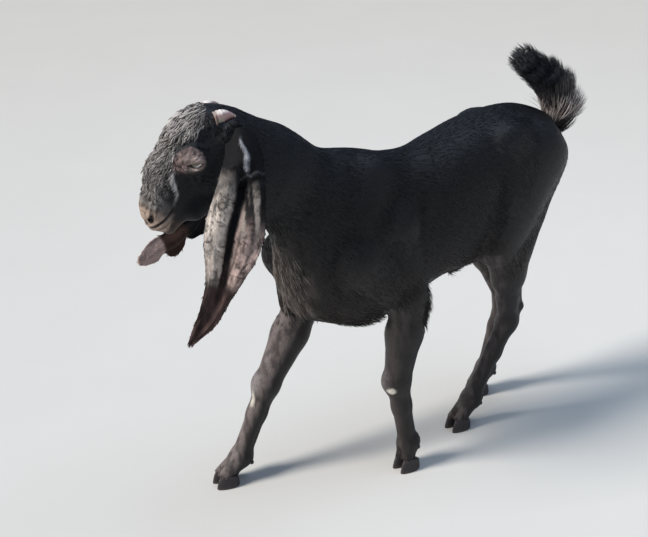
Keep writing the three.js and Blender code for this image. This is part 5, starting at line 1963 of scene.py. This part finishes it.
def coat_upper_legs(settings):
    """Smooth short hair over the shoulders and thighs, as on the barrel."""
    def weight(middle, part):
        return on(part, *LEGS) * rise(middle[:, 2], *LEG_TOP)

    roots = Roots("coat_upper_legs", settings, weight)
    roots.sway(0.22)
    length = roots.between(11, 17) * settings.length
    make_coat(
        roots, coat_material("Upper leg hair", 0.4), length, roots.between(1.4, 2.4), 0.02, roots.vary(0.16),
        bend=draped(roots, length), **SMOOTH
    )


def coat_legs(settings, name, legs):
    """Very short hair down the legs."""
    def weight(middle, part):
        return on(part, *legs) * (1 - 0.9 * rise(middle[:, 2], *LEG_TOP))

    roots = Roots(name, settings, weight)
    roots.sway(0.25)
    low = 1 - rise(roots.points[:, 2], 60, 420)
    length = mix(roots.between(11, 16), roots.between(5.5, 8.5), low) * settings.length
    width = mix(roots.between(1.3, 2.2), roots.between(0.9, 1.4), low)
    make_coat(
        roots, coat_material("Leg hair", 0.4, 0.24), length, width, 0.05, roots.vary(0.25), steps=2, tip=1.1,
        base=0.85, keel=0.28, bend=draped(roots, length)
    )


def along_tail(points):
    """For points near the tail: its thickness of flesh there, how far its hair reaches out, and its run."""
    rows = np.array(TAIL, float)
    runs = unit(np.gradient(rows[:, :2], axis=0))
    nearest = np.full(len(points), 1e9)
    flesh, reach, run = np.zeros(len(points)), np.zeros(len(points)), np.zeros((len(points), 3))
    for a, b, run_a, run_b in zip(rows, rows[1:], runs, runs[1:]):
        d = b[:2] - a[:2]
        t = np.clip(((points[:, 1:] - a[:2]) @ d) / (d @ d), 0, 1)
        away = np.linalg.norm(points[:, 1:] - a[:2] - t[:, None] * d, axis=1)
        closer = away < nearest
        nearest[closer] = away[closer]
        flesh[closer], reach[closer] = mix(a[2], b[2], t)[closer], mix(a[3], b[3], t)[closer]
        run[closer, 1:] = mix(run_a, run_b, t[:, None])[closer]
    return flesh, reach, run


def coat_tail(settings):
    """Long hair that fans off the raised tail, black with silver streaks near its root."""
    def weight(middle, part):
        return on(part, "tail") * (1 + 0.8 * rise(middle[:, 2], 610, 680))

    roots = Roots("coat_tail", settings, weight)
    flesh, reach, run = along_tail(roots.points)
    roots.way = flow_of(run, roots.normal)
    roots.sway(0.14)
    y, z = roots.points[:, 1], roots.points[:, 2]
    gap = reach - flesh
    length = (27 + 1.0 * gap) * roots.between(0.86, 1.05) * settings.length
    lift = gap * mix(roots.between(0.3, 1.0), roots.between(0.5, 0.95), rise(z, 640, 700)) / (0.45 * length)
    band = rise(z, 608, 618) * (1 - rise(z, 630, 650))
    front = (1 - rise(y, 384, 402)) * rise(z, 606, 622) * (1 - rise(z, 640, 664))
    streak = np.maximum(band, 0.6 * front) * (roots.rng.random(roots.count) < 0.62)
    tint = lay(roots.tint, vec(0.030, 0.026, 0.025), 1 - rise(z, 620, 690))
    tint = lay(tint, vec(0.33, 0.29, 0.28), streak * roots.between(0.4, 1.0))
    rear = rise(y, 398, 420) * rise(z, 634, 650) * (1 - rise(z, 680, 706))
    tint = lay(tint, vec(0.075, 0.065, 0.062), 0.8 * rear * roots.between(0.2, 1.0))
    tint = tint * roots.between(0.9, 2.6)[:, None]
    make_coat(
        roots, coat_material("Tail hair", 0.48), length, roots.between(0.8, 1.5), lift, tint, steps=4,
        wave=0.02, waves=0.9, keel=0.3
    )


def coat_fringe(settings):
    """Wisps at the breastbone, elbows, throat, belly, thighs, and round each foot."""
    spots = []
    for name in ("fore_left", "fore_right"):
        elbow = vec(*LEGS[name]["elbow"])
        spots.append((elbow + (0, 34, -14), (26, 20, 36), (0, 0.75, -0.8), 20, 34, 1.0))
    spots.append((vec(20, -70, 318), (34, 60, 18), (0, 0.5, -0.9), 14, 26, 0.9))
    spots.append((vec(0, 120, 362), (34, 120, 16), (0, 0.9, -0.45), 12, 20, 0.6))
    spots.append((vec(0, 392, 520), (46, 30, 70), (0, 0.2, -1), 14, 24, 0.5))
    chest = len(spots)
    spots.append((vec(12, -222, 430), (34, 30, 62), (0.45, 0.35, -0.85), 18, 30, 0.9))
    spots.append((vec(-48, -184, 352), (32, 30, 26), (0.3, 0.1, -1), 16, 28, 1.1))

    def weight(middle, part):
        total = np.zeros(len(middle))
        for centre, size, *_, much in spots:
            total += much * np.exp(-(((middle - centre) / size) ** 2).sum(1))
        for leg in LEGS.values():
            _, _, over = foot_space(leg, middle)
            total += 1.8 * bump_at(over, 2, 5) * (middle[:, 2] < 60)
            heel = vec(*leg["fetlock"]) + (0, 22, -4)
            total += 0.8 * bell(away_from(middle, heel), 16)
        return total * (total > 0.08)

    roots = Roots("coat_fringe", settings, weight)
    roots.sway(0.4)
    length = roots.between(7, 11)
    bend = np.zeros((roots.count, 3))
    tint = roots.vary(0.25)
    for index, (centre, size, way, low, high, _) in enumerate(spots):
        near = np.exp(-(((roots.points - centre) / size) ** 2).sum(1))
        mine = near > 0.2
        # Pale wisps on the chest: partly pale hair, partly painted sunlight.
        if index >= chest:
            pale = mine & (roots.rng.random(roots.count) < 0.5)
            tint = np.where(pale[:, None], vec(0.24, 0.205, 0.185) * roots.between(0.3, 1.3)[:, None], tint)
        length = np.where(mine, roots.between(low, high) * (0.5 + 0.5 * near), length)
        bend = np.where(mine[:, None], vec(*way) * 0.45, bend)
    feet = roots.points[:, 2] < 70
    length = length * np.where(feet, 0.8, 1.0)
    white = (
        (np.abs(roots.points[:, 1] + 45) < 34) & (roots.points[:, 2] < 345) & ~feet
        & (roots.rng.random(roots.count) < 0.22) & (roots.points[:, 0] > -10)
    )
    tint = np.where(white[:, None], vec(0.5, 0.47, 0.44), tint)
    make_coat(
        roots, coat_material("Fringe hair", 0.45), length * settings.length, roots.between(0.9, 1.7),
        np.where(feet, 0.08, 0.28), tint, steps=4, bend=bend
    )


def coat_ears(settings):
    """Fine hair down the ears, thickest on their backs, their rolled roots and their rims."""
    # The ears aren't part of the body's skin, so only the draws are taken from here.
    rng = Roots("coat_ears", settings, lambda middle, part: on(part, "head") * 1.0).rng
    made = []
    for index, name in enumerate(EARS):
        ear = BUILT[name]
        points, faces = ear["points"], ear["faces"]
        t, s, inner = (ear[key][faces].mean(1) for key in ("t", "s", "inner"))
        open_side = inner * rise(t, 0.26, 0.34)
        weight = (
            mix(1.0, 0.25, open_side) * (1 + 1.2 * (np.abs(s) > 0.93)) * (t > 0.02)
            * (1 - 0.9 * inner * bump_at(t, 0.225, 0.03))
        )
        face, w = scatter(points, faces, weight, int(EAR_TUFTS * settings.density), rng)
        pick = lambda values: (values[faces[face]] * w[..., None]).sum(1)
        root, normal = pick(points), unit(pick(normals_of(points, faces)))
        along = (
            ear_point(ear["rows"], np.minimum(t[face] + 0.03, 1), s[face])
            - ear_point(ear["rows"], np.maximum(t[face] - 0.03, 0), s[face])
        )
        way = flow_of(along, normal)
        side = np.cross(normal, way)
        angle = 0.25 * rng.normal(size=len(root))
        way = unit(way + side * angle[:, None])
        tint = pick(ear["tint"]) * (1 + 0.28 * rng.normal(size=(len(root), 1))).clip(0.4, 1.9)
        length = (5.5 + 5 * rng.random(len(root))) * mix(1.0, 0.7, open_side[face]) * settings.length
        uv = np.stack(
            [
                (index * 0.25) + 0.008 + 0.234 * (0.5 * inner[face] + 0.25 + 0.25 * s[face] * 0.96),
                2 / 3 + 0.01 + 0.31 * t[face]
            ],
            1
        )
        width = 0.8 + 0.7 * rng.random(len(root))
        made.append(tufts(root, normal, way, length, width, 0.05, tint, uv, rng, steps=2, keel=0.3, sink=0.4))
    points, faces, tint, uv = joined(made)
    piece = make_piece("coat_ears", points, faces, coat_material("Ear hair", 0.6, 0.12), tint, uv=uv)


def aimed_lamp(name, kind, spot, back, **values):
    """A lamp that shines away from back."""
    data = bpy.data.lights.new(name, kind)
    for key, value in values.items():
        setattr(data, key, value)
    right = unit(np.cross(vec(0, 0, 1), back))
    stand(add_object(name, data), right, np.cross(back, right), back, spot)


def make_stage(settings):
    size = FLOOR_SIZE
    mesh = bpy.data.meshes.new("studio_floor")
    mesh.from_pydata(
        [(-size, -size, 0), (size, -size, 0), (size, size, 0), (-size, size, 0)], [], [(0, 1, 2, 3)]
    )
    floor = add_object("studio_floor", mesh)
    floor.location.z = -FLOOR_DROP
    mesh.materials.append(floor_material())
    floor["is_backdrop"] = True
    world = bpy.data.worlds.new("Pale studio")
    bpy.context.scene.world = world
    world.use_nodes = True
    sky = world.node_tree.nodes["Background"]
    sky.inputs["Color"].default_value = (0.62, 0.77, 1.0, 1)
    sky.inputs["Strength"].default_value = settings.fill
    bpy.context.scene.view_settings.view_transform = "Standard"
    # The key light is so far off that it lights the whole floor evenly.
    back = unit(vec(-0.75, -3.6, 2.9))
    aimed_lamp(
        "key_light", "SUN", 4 * back, back, energy=settings.key, angle=math.radians(18),
        color=(1.0, 0.95, 0.88)
    )
    spot = vec(0.3, 0.6, 3.6)
    back = unit(spot - vec(0.0, 0.0, 0.4))
    aimed_lamp(
        "sky_light", "AREA", spot, back, shape="DISK", size=2.4, energy=settings.top, color=(0.7, 0.84, 1.0)
    )
    azimuth, pitch, roll = (math.radians(angle) for angle in CAMERA_ANGLES)
    right = vec(math.cos(azimuth), math.sin(azimuth), 0)
    forward = vec(-math.sin(azimuth) * math.cos(pitch), math.cos(azimuth) * math.cos(pitch), -math.sin(pitch))
    up = np.cross(right, forward)
    turned_right = right * math.cos(roll) + up * math.sin(roll)
    turned_up = -right * math.sin(roll) + up * math.cos(roll)
    data = bpy.data.cameras.new("camera")
    data.sensor_width = 36.0
    data.lens = data.sensor_width * LENS_OVER_WIDTH
    data.clip_end = 100
    camera = add_object("camera", data)
    stand(camera, turned_right, turned_up, -forward, to_scene(CAMERA_SPOT))
    bpy.context.scene.camera = camera


# ---------------------------------------------------------------- add-on

class GoatCoat(bpy.types.PropertyGroup):
    """How full and how long the coat is."""

    density: bpy.props.FloatProperty(
        name="Fullness", description="How many tufts grow, next to the usual number", default=1.0, min=0.1,
        max=1.0, subtype="FACTOR"
    )
    length: bpy.props.FloatProperty(
        name="Length", description="How long the hair is, next to the usual length", default=1.0, min=0.3,
        max=1.5, subtype="FACTOR"
    )


class GoatHorn(bpy.types.PropertyGroup):
    """The size of the horn buds."""

    length: bpy.props.FloatProperty(
        name="Horn length", description="Length of each horn bud", default=0.036, unit="LENGTH",
        subtype="DISTANCE"
    )


class GoatStage(bpy.types.PropertyGroup):
    """The studio's lights and floor."""

    key: bpy.props.FloatProperty(
        name="Key light", description="Strength of the soft light in front of the goat", default=4.3, min=0.0
    )
    top: bpy.props.FloatProperty(
        name="Top light", description="Power of the soft light overhead", default=45.0, unit="POWER"
    )
    fill: bpy.props.FloatProperty(
        name="Fill", description="Brightness of the pale room all round", default=0.30, min=0.0
    )
    floor_tint: bpy.props.FloatVectorProperty(
        name="Floor", description="Colour of the floor", default=(0.62, 0.61, 0.59), subtype="COLOR", size=3
    )


class GOAT_OT_skin(bpy.types.Operator):
    """Make the skin with the ears, in place of the nodes of flesh"""

    bl_idname = "goat.skin"
    bl_label = "Skin and ears"

    def execute(self, context):
        make_skin()
        return {"FINISHED"}


class GOAT_OT_eyes(bpy.types.Operator):
    """Make both eyeballs"""

    bl_idname = "goat.eyes"
    bl_label = "Eyes"

    def execute(self, context):
        make_eye("left", 1)
        make_eye("right", -1)
        return {"FINISHED"}


class GOAT_OT_horns(bpy.types.Operator):
    """Make both horn buds"""

    bl_idname = "goat.horns"
    bl_label = "Horn buds"

    def execute(self, context):
        length = context.scene.goat_horn.length * 1000
        make_horn("left", 1, length)
        make_horn("right", -1, length)
        return {"FINISHED"}


class GOAT_OT_claws(bpy.types.Operator):
    """Make the claws and dewclaws of all four feet"""

    bl_idname = "goat.claws"
    bl_label = "Claws"

    def execute(self, context):
        for name in LEGS:
            make_claws(name)
            make_dewclaws(name)
        return {"FINISHED"}


class GOAT_OT_face_coat(bpy.types.Operator):
    """Grow the locks and the short hair of the face"""

    bl_idname = "goat.face_coat"
    bl_label = "Face coat"

    def execute(self, context):
        coat_face_locks(context.scene.goat_coat)
        coat_face_short(context.scene.goat_coat)
        return {"FINISHED"}


class GOAT_OT_body_coat(bpy.types.Operator):
    """Grow the coat of the barrel, neck and legs"""

    bl_idname = "goat.body_coat"
    bl_label = "Body coat"

    def execute(self, context):
        settings = context.scene.goat_coat
        coat_body(settings, "coat_body_left", 1)
        coat_body(settings, "coat_body_right", -1)
        coat_upper_legs(settings)
        coat_legs(settings, "coat_legs_fore", ("fore_left", "fore_right"))
        coat_legs(settings, "coat_legs_hind", ("hind_left", "hind_right"))
        return {"FINISHED"}


class GOAT_OT_long_coat(bpy.types.Operator):
    """Grow the tail's hair, the wisps and the ears' fine hair"""

    bl_idname = "goat.long_coat"
    bl_label = "Tail, wisps and ear hair"

    def execute(self, context):
        settings = context.scene.goat_coat
        coat_tail(settings)
        coat_fringe(settings)
        coat_ears(settings)
        return {"FINISHED"}


class GOAT_OT_stage(bpy.types.Operator):
    """Make the pale floor, the soft lights and the camera"""

    bl_idname = "goat.stage"
    bl_label = "Studio"

    def execute(self, context):
        make_stage(context.scene.goat_stage)
        return {"FINISHED"}


class GOAT_PT_panel(bpy.types.Panel):
    """Lists the goat's sizes and its makers"""

    bl_idname = "GOAT_PT_panel"
    bl_label = "Goat"
    bl_space_type = "VIEW_3D"
    bl_region_type = "UI"
    bl_category = "Goat"

    def draw(self, context):
        scene = context.scene
        for settings, names in (
            (scene.goat_coat, ("density", "length")), (scene.goat_horn, ("length",)),
            (scene.goat_stage, ("key", "top", "fill", "floor_tint"))
        ):
            for name in names:
                self.layout.prop(settings, name)
        for maker in MAKERS:
            self.layout.operator(maker.bl_idname)


MAKERS = (
    GOAT_OT_stage, GOAT_OT_skin, GOAT_OT_eyes, GOAT_OT_horns, GOAT_OT_claws, GOAT_OT_face_coat,
    GOAT_OT_body_coat, GOAT_OT_long_coat
)
SETTINGS = {"goat_coat": GoatCoat, "goat_horn": GoatHorn, "goat_stage": GoatStage}


def register():
    for kind in (*SETTINGS.values(), *MAKERS, GOAT_PT_panel):
        bpy.utils.register_class(kind)
    for name, kind in SETTINGS.items():
        setattr(bpy.types.Scene, name, bpy.props.PointerProperty(type=kind))


def unregister():
    for name in SETTINGS:
        delattr(bpy.types.Scene, name)
    for kind in (GOAT_PT_panel, *reversed(MAKERS), *SETTINGS.values()):
        bpy.utils.unregister_class(kind)


def plain(box):
    return [list(corner) for corner in box]


def main():
    register()
    for maker in MAKERS:
        group, name = maker.bl_idname.split(".")
        getattr(getattr(bpy.ops, group), name)()
    bpy.context.view_layer.update()
    {"cad": plain(CAD_BOX), "visual": plain(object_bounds())}


if __name__ == "__main__":
    main()
